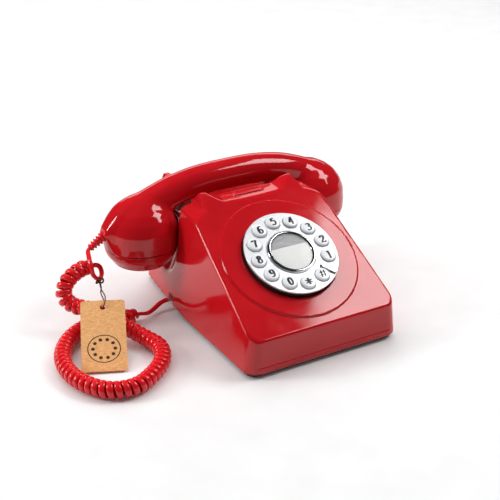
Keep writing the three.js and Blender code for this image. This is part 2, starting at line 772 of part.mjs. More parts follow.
// A cap under an ear: a shallow cup with a ring of sound holes.
function earCap(name, side) {
  const top = EAR_SEAM_Z - GAP / 2;
  const bottom = CAP_BOTTOM_Z;
  const outline = [
    [0, bottom],
    [18.5, bottom],
    [23.5, bottom + 2.2],
    [28, bottom + 9.5],
    [EAR_RADIUS - 0.4, top - 1],
    [EAR_RADIUS - 0.4, top],
    [EAR_RADIUS - 3.4, top],
    [24.6, bottom + 10],
    [19.8, bottom + 3.4],
    [0, bottom + 2.6],
  ];
  const place = moved(side * EAR_X, CHANNEL_Y, 0);
  const holes = [0, 60, 120, 180, 240, 300].map((angle) => {
    return disc(1.6, bottom - 1, bottom + 4, 6, place.clone().multiply(onCircle(angle, 8)));
  });
  holes.push(disc(1.6, bottom - 1, bottom + 4, 8, place));
  return meshOf(name, cut(lathe(outline, 22, place), ...holes), redGloss);
}

function microphone() {
  const place = moved(-EAR_X, CHANNEL_Y, 0);
  return meshOf("microphone", disc(11, CAP_BOTTOM_Z + 4, CAP_BOTTOM_Z + 10, 16, place), steel);
}

function speaker() {
  const outline = [[0, 43], [17, 43], [20, 49], [12, 52], [12, 56], [0, 56]];
  return meshOf("speaker", lathe(outline, 20, moved(EAR_X, CHANNEL_Y, 0)), steel);
}

function handsetWeight() {
  return meshOf("handset_weight", disc(15, 62, 72, 16, moved(-EAR_X + 2, CHANNEL_Y, 0)), steel);
}

// The ribbed sleeve that leads the cable out of the handset, pointing outwards and a little down.
const RELIEF_START = new THREE.Vector3(-118.4, CHANNEL_Y, 70.5);
const RELIEF_TILT = 32.5 * DEGREE;
const RELIEF_LENGTH = 15;

function reliefPoint(distance) {
  const along = new THREE.Vector3(-Math.cos(RELIEF_TILT), 0, -Math.sin(RELIEF_TILT));
  return RELIEF_START.clone().addScaledVector(along, distance);
}

function strainRelief() {
  const ribs = 5;
  const width = 7.6;
  const pitch = RELIEF_LENGTH / ribs;
  const top = [];
  const bottom = [];
  for (let i = 0; i < ribs; i += 1) {
    const half = 4.4 - 0.25 * i;
    const start = 0.3 + i * pitch;
    const groove = start + pitch * 0.6;
    top.push([start, half], [groove, half]);
    bottom.push([start, -half], [groove, -half]);
    if (i < ribs - 1) {
      top.push([groove, half - 1.3], [start + pitch, half - 1.3]);
      bottom.push([groove, -half + 1.3], [start + pitch, -half + 1.3]);
    }
  }
  const outline = [...bottom, ...top.reverse()];
  const turn = new THREE.Matrix4().makeRotationY(Math.PI - RELIEF_TILT);
  const side = new THREE.Matrix4().makeRotationX(Math.PI / 2);
  const place = moved(...RELIEF_START.toArray()).multiply(turn).multiply(side);
  return meshOf("strain_relief", alongZ(outline, -width / 2, width / 2, place), redGloss);
}

// ---------------------------------------------------------------- cord, plug and tag

const LEAD_START = reliefPoint(RELIEF_LENGTH + 0.2);
const HANDSET_LEAD = [
  LEAD_START.toArray(),
  [-133.4, 54, 60.8],
  [-135.6, 47.4, 58.4],
  [-136.8, 41.4, 53.6],
  [-136, 39.8, 46.6],
  [-132.4, 40.6, 42],
  [-128.2, 43, 41],
  [-125.4, 47.2, 43.4],
  [-125.6, 50.7, 46.8],
  [-127.8, 51.9, 48.4],
  [-130, 52, 48.6],
];
const CURL = [
  [-130.4, 52, 48.6],
  [-139, 51, 49],
  [-149, 48.5, 47],
  [-158, 46, 41],
  [-161, 43.5, 32],
  [-156.5, 38.5, 25],
  [-145, 27, 22.4],
  [-131, 9, 16],
  [-116.5, -12, 8.2],
  [-111.5, -31, 7.2],
  [-119.5, -51, 7.2],
  [-137, -67, 7.2],
  [-154, -74.5, 7.2],
  [-171, -70.5, 7.2],
  [-183.5, -55, 7.2],
  [-189, -31, 7.2],
  [-184.5, -6, 7.2],
  [-171.5, 14, 7.2],
  [-154, 26.5, 7.2],
  [-135, 30.5, 7.2],
  [-117, 26, 7.2],
  [-103, 26.5, 7.2],
];
const BASE_LEAD = [
  [-102.5, 26.5, 7.2],
  [-99.5, 27, 6.2],
  [-93, 30, 3.6],
  [-85, 34, 3.8],
  [-77, JACK_Y, 6.8],
  [-71.4, JACK_Y, JACK_Z],
];

function cordLead(name, points) {
  const section = oval(CABLE_WIDTH / 2, CABLE_THICKNESS / 2, 8);
  return meshOf(name, tube(curveThrough(points), section, 12), redGloss);
}

function cordCurl() {
  const section = oval(COIL_DIAMETER / 2, COIL_DIAMETER / 2, 8);
  return meshOf("cord_curl", tube(curveThrough(CURL), section, 48), redGloss);
}

function cordPlug() {
  const body = box([-71, JACK_Y - 3.8, JACK_Z - 3.3], [-54, JACK_Y + 3.8, JACK_Z + 3.3]);
  return meshOf("cord_plug", body, clearPlastic);
}

const TAG_HOLE_Y = TAG_LENGTH - 7;
const TAG_HOLE_RADIUS = 2.3;
const TAG_TOP = new THREE.Vector3(-137.4, 20, 31.5);
const TAG_BOTTOM = new THREE.Vector3(-161.5, -35.5, 1.6);

// Local X across the tag, local Y from its foot to its head, local Z out of its printed side.
function tagFrame() {
  const up = TAG_TOP.clone().sub(TAG_BOTTOM).normalize();
  const across = new THREE.Vector3(33, -13, 0).normalize();
  const out = across.clone().cross(up).normalize();
  const level = up.clone().cross(out).normalize();
  return new THREE.Matrix4().makeBasis(level, up, out).setPosition(TAG_BOTTOM);
}

function tagCard() {
  const half = TAG_WIDTH / 2;
  const corners = [[half, 0, 3], [half, TAG_LENGTH, 3]];
  const outline = rounded(mirrored(corners), 3);
  const card = alongZ(outline, 0, TAG_THICKNESS, tagFrame());
  const holePlace = tagFrame().multiply(moved(0, TAG_HOLE_Y, 0));
  const hole = disc(TAG_HOLE_RADIUS, -1, TAG_THICKNESS + 1, 12, holePlace);
  return meshOf("tag_card", cut(card, hole), kraft);
}

function tagString() {
  const hole = new THREE.Vector3(0, TAG_HOLE_Y, TAG_THICKNESS / 2).applyMatrix4(tagFrame());
  const below = new THREE.Vector3(0, TAG_HOLE_Y + 2, -3).applyMatrix4(tagFrame());
  const above = new THREE.Vector3(0, TAG_HOLE_Y + 0.6, 4.5).applyMatrix4(tagFrame());
  const curve = curveThrough([
    below.toArray(),
    hole.toArray(),
    above.toArray(),
    [-132, 32, 36],
    [-128.8, 40, 35.6],
  ]);
  return meshOf("tag_string", tube(curve, oval(0.7, 0.7, 6), 14), twine);
}

// ---------------------------------------------------------------- the telephone

const phone = new THREE.Group();
phone.add(upperCase(), basePlate());
["front_left", "front_right", "rear_left", "rear_right"].forEach((place, i) => {
  phone.add(foot(`foot_${place}`, ...FOOT_PLACES[i]));
  phone.add(caseScrew(`case_screw_${place}`, ...SCREW_PLACES[i]));
});
phone.add(dialGroup());
phone.add(mainBoard(), ballastPlate(), ringerBracket(), ringerCoil(), clapper());
phone.add(gong("gong_left", -1), gong("gong_right", 1));
phone.add(gongScrew("gong_screw_left", -1), gongScrew("gong_screw_right", 1));
phone.add(handsetSocket(), lineSocket(), hookBracket(), hookSwitch(), hookBar());
phone.add(plunger("plunger_left", -1), plunger("plunger_right", 1));
phone.add(handsetShell(), earCap("mouthpiece_cap", -1), earCap("earpiece_cap", 1));
phone.add(microphone(), speaker(), handsetWeight(), strainRelief());
phone.add(cordLead("cord_lead_handset", HANDSET_LEAD), cordCurl());
phone.add(cordLead("cord_lead_base", BASE_LEAD), cordPlug(), tagCard(), tagString());

export default phone;
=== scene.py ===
"""Looks of the desk telephone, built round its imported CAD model.

Shapes are worked out in millimetres in the row frame, X right, Y to the back and Z up, and are
turned into metres when a piece is made.
"""

import math

import bpy
import numpy as np
from mathutils import Matrix, Vector


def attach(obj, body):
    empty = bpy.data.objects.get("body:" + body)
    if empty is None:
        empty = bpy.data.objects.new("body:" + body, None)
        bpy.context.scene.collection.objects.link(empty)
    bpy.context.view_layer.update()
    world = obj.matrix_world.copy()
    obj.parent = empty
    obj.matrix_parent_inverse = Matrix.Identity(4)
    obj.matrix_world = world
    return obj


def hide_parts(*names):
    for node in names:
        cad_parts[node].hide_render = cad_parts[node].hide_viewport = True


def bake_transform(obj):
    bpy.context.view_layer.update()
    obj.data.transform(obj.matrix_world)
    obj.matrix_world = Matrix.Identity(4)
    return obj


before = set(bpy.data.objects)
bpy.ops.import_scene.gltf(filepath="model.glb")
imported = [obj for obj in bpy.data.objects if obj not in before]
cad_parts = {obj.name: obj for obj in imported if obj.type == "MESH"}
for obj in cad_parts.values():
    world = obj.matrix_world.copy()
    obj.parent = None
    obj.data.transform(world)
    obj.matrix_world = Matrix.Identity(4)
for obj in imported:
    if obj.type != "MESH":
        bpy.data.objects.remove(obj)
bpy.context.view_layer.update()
MM = 0.001

# ---- driving dimensions

FRONT_Y = -104.0
REAR_Y = 104.0
CASE_BOTTOM_Z = 4.0
LIP_TOP_Z = 31.7
FACE_TILT = math.radians(30.2)
WALL = 2.6
SIDE_TAPER = 0.114
REAR_TAPER = 0.1
CORNER_RADIUS = 12.0
HORN_TIP_Z = 105.6
REAR_HORN_TIP_Z = 99.5
SADDLE_Z = 98.2
SHOULDER_Z = 92.0
CHANNEL_FLOOR_Z = 78.0
CHANNEL_Y = 56.4
RIDGE_BACK_Y = 27.0
CHANNEL_BACK_Y = 80.0
HALF_WIDTHS = [(FRONT_Y, 71.5), (-54, 71.5), (-4, 71.2), (28, 69.5), (58, 66), (REAR_Y, 60)]

DIAL_CENTRE_UP_FACE = 67.3
FACE_DISC_RADIUS = 58.2
FACE_DISC_RISE = 1.5
PLATE_RADIUS = 40.0
PLATE_TOP = 7.0
PLATE_THICKNESS = 1.6
CUP_HOLE_RADIUS = 40.0
KEY_CIRCLE_RADIUS = 31.0
KEY_RADIUS = 6.1
KEY_CLEARANCE = 0.4
KEY_FIRST_ANGLE = -22.6
KEY_STEP_ANGLE = 29.1
KEY_NAMES = ["1", "2", "3", "4", "5", "6", "7", "8", "9", "0", "star", "hash"]
BEZEL_OUTER_RADIUS = 20.7
BEZEL_INNER_RADIUS = 17.3

PAD_HALF_WIDTH = 14.0
REST_X = 49.5
REST_TOP_Z = 80.2
SLOT_X = 42.8
SLOT_HALF_WIDTH = 6.4
SLOT_HALF_DEPTH = 3.6

JACK_Y = 36.0
JACK_Z = 8.0
JACK_HALF_WIDTH = 4.6
LINE_SOCKET_X = -30.0
LINE_SOCKET_HALF_WIDTH = 6.4
FOOT_PLACES = {
    "foot_front_left": (-54, -88),
    "foot_front_right": (54, -88),
    "foot_rear_left": (-46, 70),
    "foot_rear_right": (46, 70),
}
FOOT_RADIUS = 8.0
FOOT_HEIGHT = 2.7

EAR_X = 84.0
EAR_RADIUS = 32.0
EAR_SEAM_Z = 57.0
EAR_CLEARANCE = 1.2
HANDSET_WALL = 3.4
CAP_BOTTOM_Z = 39.0
CAP_HOLE_RADIUS = 1.5
CAP_HOLE_RINGS = [(0, 1), (8, 6), (14, 12)]

RELIEF_START = (-118.4, CHANNEL_Y, 70.5)
RELIEF_TILT = math.radians(32.5)
RELIEF_LENGTH = 15.0
RELIEF_RIBS = 5
RELIEF_END_RADIUS = 3.1
RIB_RADIUS = 4.5
RIB_SHRINK = 0.25
RIB_HEIGHT = 1.3
COIL_DIAMETER = 14.0
COIL_PITCH = 5.6
CABLE_WIDTH = 4.4
CABLE_THICKNESS = 2.6

TAG_WIDTH = 36.0
TAG_LENGTH = 68.0
TAG_THICKNESS = 0.8
TAG_CORNER_RADIUS = 3.2
TAG_HOLE_Y = TAG_LENGTH - 7
TAG_HOLE_RADIUS = 2.3
MARK_CENTRE = (0, 21)
MARK_OUTER_RADIUS = 13.2
MARK_INNER_RADIUS = 12.4
MARK_DOTS = 10
MARK_DOT_CIRCLE_RADIUS = 8.8
MARK_DOT_RADIUS = 1.5
MARK_THICKNESS = 0.04
MARK_BEVEL = 0.005
TWINE_RADIUS = 0.55

# ---- camera

CAMERA_AZIMUTH = math.radians(-30.21)
CAMERA_ELEVATION = math.radians(25.84)
CAMERA_AIM = Vector((-0.0107, -0.0011, 0.0559))
CAMERA_DISTANCE = 1.0
SENSOR_WIDTH = 36.0
LENS = 85.8


def new_object(name, data):
    item = bpy.data.objects.new(name, data)
    bpy.context.scene.collection.objects.link(item)
    return item


def make_camera():
    data = bpy.data.cameras.new("camera")
    data.sensor_width = SENSOR_WIDTH
    data.lens = LENS
    data.clip_start = 0.05
    data.clip_end = 50
    camera = new_object("camera", data)
    level = math.cos(CAMERA_ELEVATION)
    back = Vector((
        math.sin(CAMERA_AZIMUTH) * level,
        -math.cos(CAMERA_AZIMUTH) * level,
        math.sin(CAMERA_ELEVATION),
    ))
    camera.location = CAMERA_AIM + back * CAMERA_DISTANCE
    camera.rotation_mode = "QUATERNION"
    camera.rotation_quaternion = (-back).to_track_quat("-Z", "Y")
    bpy.context.scene.camera = camera


make_camera()

# ---- materials


class Nodes:
    """A material's node tree, with short ways to add the nodes that this scene uses."""

    def __init__(self, name):
        self.material = bpy.data.materials.new(name)
        self.material.use_nodes = True
        self.tree = self.material.node_tree
        self.shader = self.tree.nodes["Principled BSDF"]
        self.place = self.tree.nodes.new("ShaderNodeTexCoord").outputs["Object"]

    def link(self, source, target):
        self.tree.links.new(source, target)

    def noise(self, scale, detail=3.0, stretch=None):
        node = self.tree.nodes.new("ShaderNodeTexNoise")
        node.inputs["Scale"].default_value = scale
        node.inputs["Detail"].default_value = detail
        self.link(self.place if stretch is None else self.stretched(stretch), node.inputs["Vector"])
        return node.outputs["Fac"]

    def stretched(self, scale):
        node = self.tree.nodes.new("ShaderNodeMapping")
        node.inputs["Scale"].default_value = scale
        self.link(self.place, node.inputs["Vector"])
        return node.outputs["Vector"]

    def seen_from(self, matrix):
        """The place on the surface, in the frame that matrix gives."""
        node = self.tree.nodes.new("ShaderNodeMapping")
        node.vector_type = "TEXTURE"
        node.inputs["Location"].default_value = matrix.translation
        node.inputs["Rotation"].default_value = matrix.to_euler()
        self.link(self.place, node.inputs["Vector"])
        return node.outputs["Vector"]

    def shade(self, factor, dark, light, low=0.3, high=0.7):
        node = self.tree.nodes.new("ShaderNodeValToRGB")
        node.color_ramp.elements[0].position = low
        node.color_ramp.elements[0].color = (*dark, 1)
        node.color_ramp.elements[1].position = high
        node.color_ramp.elements[1].color = (*light, 1)
        self.link(factor, node.inputs["Fac"])
        return node.outputs["Color"]

    def scaled(self, factor, low, high):
        node = self.tree.nodes.new("ShaderNodeMapRange")
        node.inputs["From Min"].default_value = 0.3
        node.inputs["From Max"].default_value = 0.7
        node.inputs["To Min"].default_value = low
        node.inputs["To Max"].default_value = high
        self.link(factor, node.inputs["Value"])
        return node.outputs["Result"]

    def bump(self, height, depth, below=None):
        """A bump of this depth in metres, laid over another bump if one is given."""
        node = self.tree.nodes.new("ShaderNodeBump")
        node.inputs["Strength"].default_value = 1.0
        node.inputs["Distance"].default_value = depth
        self.link(height, node.inputs["Height"])
        if below is not None:
            self.link(below, node.inputs["Normal"])
        return node.outputs["Normal"]

    def set(self, **sockets):
        for name, value in sockets.items():
            self.shader.inputs[name.replace("_", " ")].default_value = value


def moulded(name, dark, light, rough, bump=0.00002, grain=1200, metallic=0.0, wave=0.0, **sockets):
    """A moulded, coated or plated surface: colour that drifts a little, patchy gloss and fine grain."""
    nodes = Nodes(name)
    nodes.link(nodes.shade(nodes.noise(28), dark, light), nodes.shader.inputs["Base Color"])
    nodes.link(nodes.scaled(nodes.noise(90, 5), *rough), nodes.shader.inputs["Roughness"])
    normal = nodes.bump(nodes.noise(grain, 2), bump)
    if wave:
        normal = nodes.bump(nodes.noise(26, 1), wave, normal)
    nodes.link(normal, nodes.shader.inputs["Normal"])
    nodes.set(Metallic=metallic, **sockets)
    return nodes.material


def concentric(name, dark, light, rough, matrix, rings, bump, metallic):
    """Turned metal, with fine rings round the Z axis of the frame that matrix gives."""
    nodes = Nodes(name)
    wave = nodes.tree.nodes.new("ShaderNodeTexWave")
    wave.wave_type = "RINGS"
    wave.rings_direction = "Z"
    wave.inputs["Scale"].default_value = rings
    wave.inputs["Distortion"].default_value = 1.5
    wave.inputs["Detail"].default_value = 3
    nodes.link(nodes.seen_from(matrix), wave.inputs["Vector"])
    nodes.link(nodes.shade(nodes.noise(60), dark, light), nodes.shader.inputs["Base Color"])
    nodes.link(nodes.scaled(nodes.noise(150, 4), *rough), nodes.shader.inputs["Roughness"])
    nodes.link(nodes.bump(wave.outputs["Fac"], bump), nodes.shader.inputs["Normal"])
    nodes.set(Metallic=metallic)
    return nodes.material


def card_board(name):
    nodes = Nodes(name)
    fibres = nodes.noise(420, 6, stretch=(1, 1, 3))
    colour = nodes.shade(fibres, (0.64, 0.31, 0.11), (0.86, 0.48, 0.2))
    nodes.link(colour, nodes.shader.inputs["Base Color"])
    nodes.link(nodes.scaled(nodes.noise(200, 4), 0.7, 0.9), nodes.shader.inputs["Roughness"])
    nodes.link(nodes.bump(fibres, 0.00008), nodes.shader.inputs["Normal"])
    return nodes.material


def label_paper(name, matrix, line_y):
    """The round label: a brushed grey field above a line across it, and white below."""
    nodes = Nodes(name)
    parts = nodes.tree.nodes.new("ShaderNodeSeparateXYZ")
    nodes.link(nodes.seen_from(matrix), parts.inputs["Vector"])
    above = nodes.tree.nodes.new("ShaderNodeMath")
    above.operation = "GREATER_THAN"
    above.inputs[1].default_value = line_y
    nodes.link(parts.outputs["Y"], above.inputs[0])
    streaks = nodes.noise(500, 5, stretch=(0.25, 1, 1))
    grey = nodes.shade(streaks, (0.2, 0.2, 0.21), (0.42, 0.42, 0.43))
    white = nodes.shade(nodes.noise(300), (0.84, 0.84, 0.82), (0.9, 0.9, 0.88))
    mix = nodes.tree.nodes.new("ShaderNodeMix")
    mix.data_type = "RGBA"
    nodes.link(above.outputs["Value"], mix.inputs["Factor"])
    nodes.link(white, mix.inputs["A"])
    nodes.link(grey, mix.inputs["B"])
    nodes.link(mix.outputs["Result"], nodes.shader.inputs["Base Color"])
    nodes.link(nodes.scaled(streaks, 0.35, 0.55), nodes.shader.inputs["Roughness"])
    return nodes.material


dial_frame = (
    Matrix.Translation((0, FRONT_Y, LIP_TOP_Z))
    @ Matrix.Rotation(FACE_TILT, 4, "X")
    @ Matrix.Translation((0, DIAL_CENTRE_UP_FACE, 0))
)
dial_frame_metres = dial_frame.copy()
dial_frame_metres.translation = dial_frame.translation * MM

LABEL_LINE_Y = 5.6

red_gloss = moulded(
    "red_gloss", (0.52, 0.006, 0.011), (0.58, 0.008, 0.014), (0.05, 0.11), 0.000004, 1500, wave=0.00006
)
red_cord = moulded("red_cord", (0.72, 0.009, 0.015), (0.8, 0.012, 0.02), (0.13, 0.24), 0.00001, 900)
black_plastic = moulded("black_plastic", (0.01, 0.01, 0.01), (0.02, 0.02, 0.021), (0.4, 0.55))
clear_grey = moulded(
    "clear_grey", (0.42, 0.4, 0.38), (0.55, 0.52, 0.5), (0.18, 0.3), Transmission_Weight=0.25
)
black_rubber = moulded(
    "black_rubber", (0.015, 0.015, 0.015), (0.03, 0.03, 0.03), (0.7, 0.9), 0.00006, 700
)
plated_steel = moulded("plated_steel", (0.4, 0.41, 0.43), (0.52, 0.53, 0.55), (0.25, 0.4), metallic=1.0)
chrome = moulded("chrome", (0.78, 0.79, 0.81), (0.86, 0.87, 0.89), (0.04, 0.1), 0.000002, metallic=1.0)
# painted shade: the finger stop's chrome is darkened so that it reads as the dark line of the blade's
# shadow and shaded side
shade_darkened_chrome = moulded("shade_darkened_chrome", (0.3, 0.3, 0.31), (0.4, 0.4, 0.41), (0.15, 0.25), metallic=0.8)
key_silver = moulded(
    "key_silver", (0.84, 0.86, 0.89), (0.9, 0.92, 0.94), (0.3, 0.4), 0.000006, metallic=0.12
)
dial_silver = concentric(
    "dial_silver", (0.72, 0.73, 0.75), (0.8, 0.81, 0.83), (0.3, 0.42), dial_frame_metres,
    rings=1400, bump=0.000004, metallic=0.6,
)
black_ink = moulded("black_ink", (0.006, 0.006, 0.007), (0.012, 0.012, 0.013), (0.3, 0.45))
label_face = label_paper("label_face", dial_frame_metres, LABEL_LINE_Y * MM)
clear_window = moulded(
    "clear_window", (0.9, 0.9, 0.9), (1, 1, 1), (0.02, 0.05), 0.000001, Alpha=0.14, IOR=1.5
)
board_green = moulded("board_green", (0.01, 0.1, 0.04), (0.02, 0.15, 0.06), (0.3, 0.45))
gong_brass = moulded("gong_brass", (0.55, 0.38, 0.14), (0.68, 0.5, 0.2), (0.2, 0.35), metallic=1.0)
coil_copper = moulded("coil_copper", (0.5, 0.2, 0.08), (0.62, 0.28, 0.12), (0.3, 0.45), metallic=1.0)
kraft = card_board("kraft")
tag_ink = moulded("tag_ink", (0.03, 0.018, 0.01), (0.05, 0.03, 0.018), (0.6, 0.8))
brown_twine = moulded("brown_twine", (0.06, 0.03, 0.015), (0.2, 0.11, 0.05), (0.75, 0.95), 0.0002, 2500)

# ---- pieces


def make_mesh(name, points, faces, place=None, normals=None):
    """A mesh from points in millimetres in the frame that place gives."""
    matrix = Matrix.Scale(MM, 4) @ (place or Matrix.Identity(4))
    mesh = bpy.data.meshes.new(name)
    array = np.asarray(points, float)
    turned = array @ np.array(matrix.to_3x3()).T + np.array(matrix.translation)
    mesh.from_pydata(turned.tolist(), [], [tuple(int(i) for i in face) for face in faces])
    mesh.update()
    mesh.shade_smooth()
    if normals is not None:
        mesh.normals_split_custom_set_from_vertices(normals.tolist())
    return mesh


def make_piece(name, mesh, material, body, nodes=()):
    piece = new_object(name, mesh)
    piece.data.materials.clear()
    piece.data.materials.append(material)
    if body is not None:
        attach(piece, body)
    if nodes:
        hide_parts(*nodes)
    return piece


def smooth_by_angle(mesh, degrees):
    mesh.shade_smooth()
    mesh.set_sharp_from_angle(angle=math.radians(degrees))
    return mesh


def filleted(corners, steps=6):
    """An outline whose corners are rounded: each entry is [u, v] or [u, v, radius]."""
    path = []
    for i, corner in enumerate(corners):
        point = np.array(corner[:2], float)
        radius = corner[2] if len(corner) > 2 else 0
        if radius == 0:
            path.append(point)
            continue
        before = np.array(corners[i - 1][:2], float) - point
        after = np.array(corners[(i + 1) % len(corners)][:2], float) - point
        before /= np.linalg.norm(before)
        after /= np.linalg.norm(after)
        half_angle = math.acos(max(-1, min(1, before @ after))) / 2
        reach = radius / math.tan(half_angle)
        middle = (before + after) / np.linalg.norm(before + after)
        centre = point + middle * radius / math.sin(half_angle)
        first = point + before * reach - centre
        last = point + after * reach - centre
        turn = math.atan2(first[0] * last[1] - first[1] * last[0], first @ last)
        for k in range(steps + 1):
            c, s = math.cos(turn * k / steps), math.sin(turn * k / steps)
            path.append(centre + np.array([c * first[0] - s * first[1], s * first[0] + c * first[1]]))
    return np.array(path)


def both_sides(corners):
    """A half outline for positive u, with its mirror image added."""
    return corners + [[-corner[0], *corner[1:]] for corner in reversed(corners)]


def revolve(outline, segments):
    """Points and faces of an outline of [radius, height] turned about Z, with its ends on the axis."""
    points, faces, rows = [], [], []
    for radius, height in outline:
        if radius < 1e-9:
            rows.append([len(points)])
            points.append((0, 0, height))
            continue
        rows.append(list(range(len(points), len(points) + segments)))
        for k in range(segments):
            angle = 2 * math.pi * k / segments
            points.append((radius * math.cos(angle), radius * math.sin(angle), height))
    for a, b in zip(rows, rows[1:]):
        for k in range(segments):
            n = (k + 1) % segments
            if len(a) == 1:
                faces.append((a[0], b[n], b[k]))
            elif len(b) == 1:
                faces.append((a[k], a[n], b[0]))
            else:
                faces.append((a[k], a[n], b[n], b[k]))
    return points, faces


def turned_piece(name, corners, material, body, nodes, place, segments=96, angle=40):
    points, faces = revolve(filleted(corners), segments)
    mesh = smooth_by_angle(make_mesh(name, points, faces, place), angle)
    return make_piece(name, mesh, material, body, nodes)


def flat_piece(name, outlines, thickness, bevel, material, body, nodes, place):
    """A flat sheet from closed outlines, the first outside and the rest holes, with bevelled edges.
    It lies between 0 and its thickness along local Z."""
    curve = bpy.data.curves.new(name, "CURVE")
    curve.dimensions = "2D"
    curve.fill_mode = "BOTH"
    curve.extrude = thickness / 2 - bevel
    curve.bevel_depth = bevel
    curve.bevel_resolution = 2
    curve.offset = -bevel
    for outline in outlines:
        spline = curve.splines.new("POLY")
        spline.points.add(len(outline) - 1)
        spline.use_cyclic_u = True
        for point, (u, v) in zip(spline.points, outline):
            point.co = (u, v, 0, 1)
    holder = new_object(name + "_curve", curve)
    bpy.context.view_layer.update()
    shape = holder.evaluated_get(bpy.context.evaluated_depsgraph_get())
    mesh = bpy.data.meshes.new_from_object(shape)
    bpy.data.objects.remove(holder)
    mesh.transform(Matrix.Scale(MM, 4) @ place @ Matrix.Translation((0, 0, thickness / 2)))
    smooth_by_angle(mesh, 35)
    return make_piece(name, mesh, material, body, nodes)


def circle(radius, count, centre=(0, 0)):
    angles = 2 * math.pi * np.arange(count) / count
    return np.stack([centre[0] + radius * np.cos(angles), centre[1] + radius * np.sin(angles)], 1)


# ---- smooth lines and tubes


def through(points, per_span=12):
    """A smooth line through points: a centripetal Catmull-Rom curve."""
    p = np.array(points, float)
    p = np.vstack([2 * p[0] - p[1], p, 2 * p[-1] - p[-2]])
    line = []
    for i in range(1, len(p) - 2):
        p0, p1, p2, p3 = p[i - 1 : i + 3]
        t1 = np.linalg.norm(p1 - p0) ** 0.5
        t2 = t1 + np.linalg.norm(p2 - p1) ** 0.5
        t3 = t2 + np.linalg.norm(p3 - p2) ** 0.5
        for t in t1 + (t2 - t1) * np.arange(per_span) / per_span:
            a1 = ((t1 - t) * p0 + t * p1) / t1
            a2 = ((t2 - t) * p1 + (t - t1) * p2) / (t2 - t1)
            a3 = ((t3 - t) * p2 + (t - t2) * p3) / (t3 - t2)
            b1 = ((t2 - t) * a1 + t * a2) / t2
            b2 = ((t3 - t) * a2 + (t - t1) * a3) / (t3 - t1)
            line.append(((t2 - t) * b1 + (t - t1) * b2) / (t2 - t1))
    line.append(p[-2])
    return np.array(line)


def along(line):
    """Distance from the line's start to each of its points."""
    return np.concatenate([[0], np.cumsum(np.linalg.norm(np.diff(line, axis=0), axis=1))])


def resampled(line, places):
    s = along(line)
    return np.stack([np.interp(places, s, line[:, k]) for k in range(3)], 1)


def tangents(line):
    t = np.gradient(line, axis=0)
    return t / np.linalg.norm(t, axis=1)[:, None]


def unit(v):
    return v / np.maximum(np.linalg.norm(v, axis=-1, keepdims=True), 1e-12)


def carried(line, start):
    """A direction square to the line, carried along it without twisting."""
    t = tangents(line)
    side = unit(start - t[0] * (start @ t[0]))
    found = [side]
    for k in range(1, len(line)):
        side = unit(side - t[k] * (side @ t[k]))
        found.append(side)
    return np.array(found)


def swept(line, wide, half_width, half_height, count=12):
    """Points and faces of an oval tube along a line. wide is the direction of the oval's width."""
    t = tangents(line)
    wide = unit(wide - t * np.sum(wide * t, axis=1)[:, None])
    tall = np.cross(t, wide)
    half_width = np.broadcast_to(half_width, len(line))
    half_height = np.broadcast_to(half_height, len(line))
    angles = 2 * math.pi * np.arange(count) / count
    rings = (
        line[:, None]
        + wide[:, None] * (np.cos(angles)[None, :, None] * half_width[:, None, None])
        + tall[:, None] * (np.sin(angles)[None, :, None] * half_height[:, None, None])
    )
    faces = []
    for k in range(len(line) - 1):
        for i in range(count):
            n = (i + 1) % count
            faces.append((k * count + i, k * count + n, (k + 1) * count + n, (k + 1) * count + i))
    faces.append(tuple(reversed(range(count))))
    faces.append(tuple((len(line) - 1) * count + i for i in range(count)))
    return rings.reshape(-1, 3), faces


# ---- the cord


def relief_point(distance):
    x, y, z = RELIEF_START
    return (x - distance * math.cos(RELIEF_TILT), y, z - distance * math.sin(RELIEF_TILT))


HANDSET_LEAD = [
    relief_point(RELIEF_LENGTH - 1),
    relief_point(RELIEF_LENGTH + 1.5),
    (-135.6, 47.4, 58.4),
    (-136.8, 41.4, 53.6),
    (-136, 39.8, 46.6),
    (-132.4, 40.6, 42),
    (-128.2, 43, 41),
    (-125.4, 47.2, 43.4),
    (-125.6, 50.7, 46.8),
    (-127.8, 51.9, 48.4),
]
CURL_IN_AIR = [
    (-130.4, 52, 48.6),
    (-139, 51, 49),
    (-149, 48.5, 47),
    (-158, 46, 41),
    (-161, 43.5, 32),
    (-156.5, 38.5, 25),
    (-145, 27, 22.4),
    (-131, 9, 16),
    (-116.5, -12, 8.2),
]
COIL_REST_Z = 7.2
CURL_ON_DESK = [
    (-111.5, -31),
    (-119.5, -51),
    (-137, -67),
    (-154, -74.5),
    (-171, -70.5),
    (-183.5, -55),
    (-189, -31),
    (-184.5, -6),
    (-171.5, 14),
    (-154, 26.5),
    (-135, 30.5),
    (-117, 26),
    (-103, 26.5),
]
CURL = CURL_IN_AIR + [(x, y, COIL_REST_Z) for x, y in CURL_ON_DESK]
BASE_LEAD = [
    (-99.5, 27, 6.2),
    (-93, 30, 3.6),
    (-85, 34, 3.8),
    (-77, JACK_Y, 6.8),
    (-69, JACK_Y, JACK_Z),
]
SPLIT_POINT = len(CURL_IN_AIR)
SPAN_STEPS = 16
LEAD_STEP = 1.2
RAMP = 7.0
PER_TURN = 24
COIL_SPREAD = 0.8


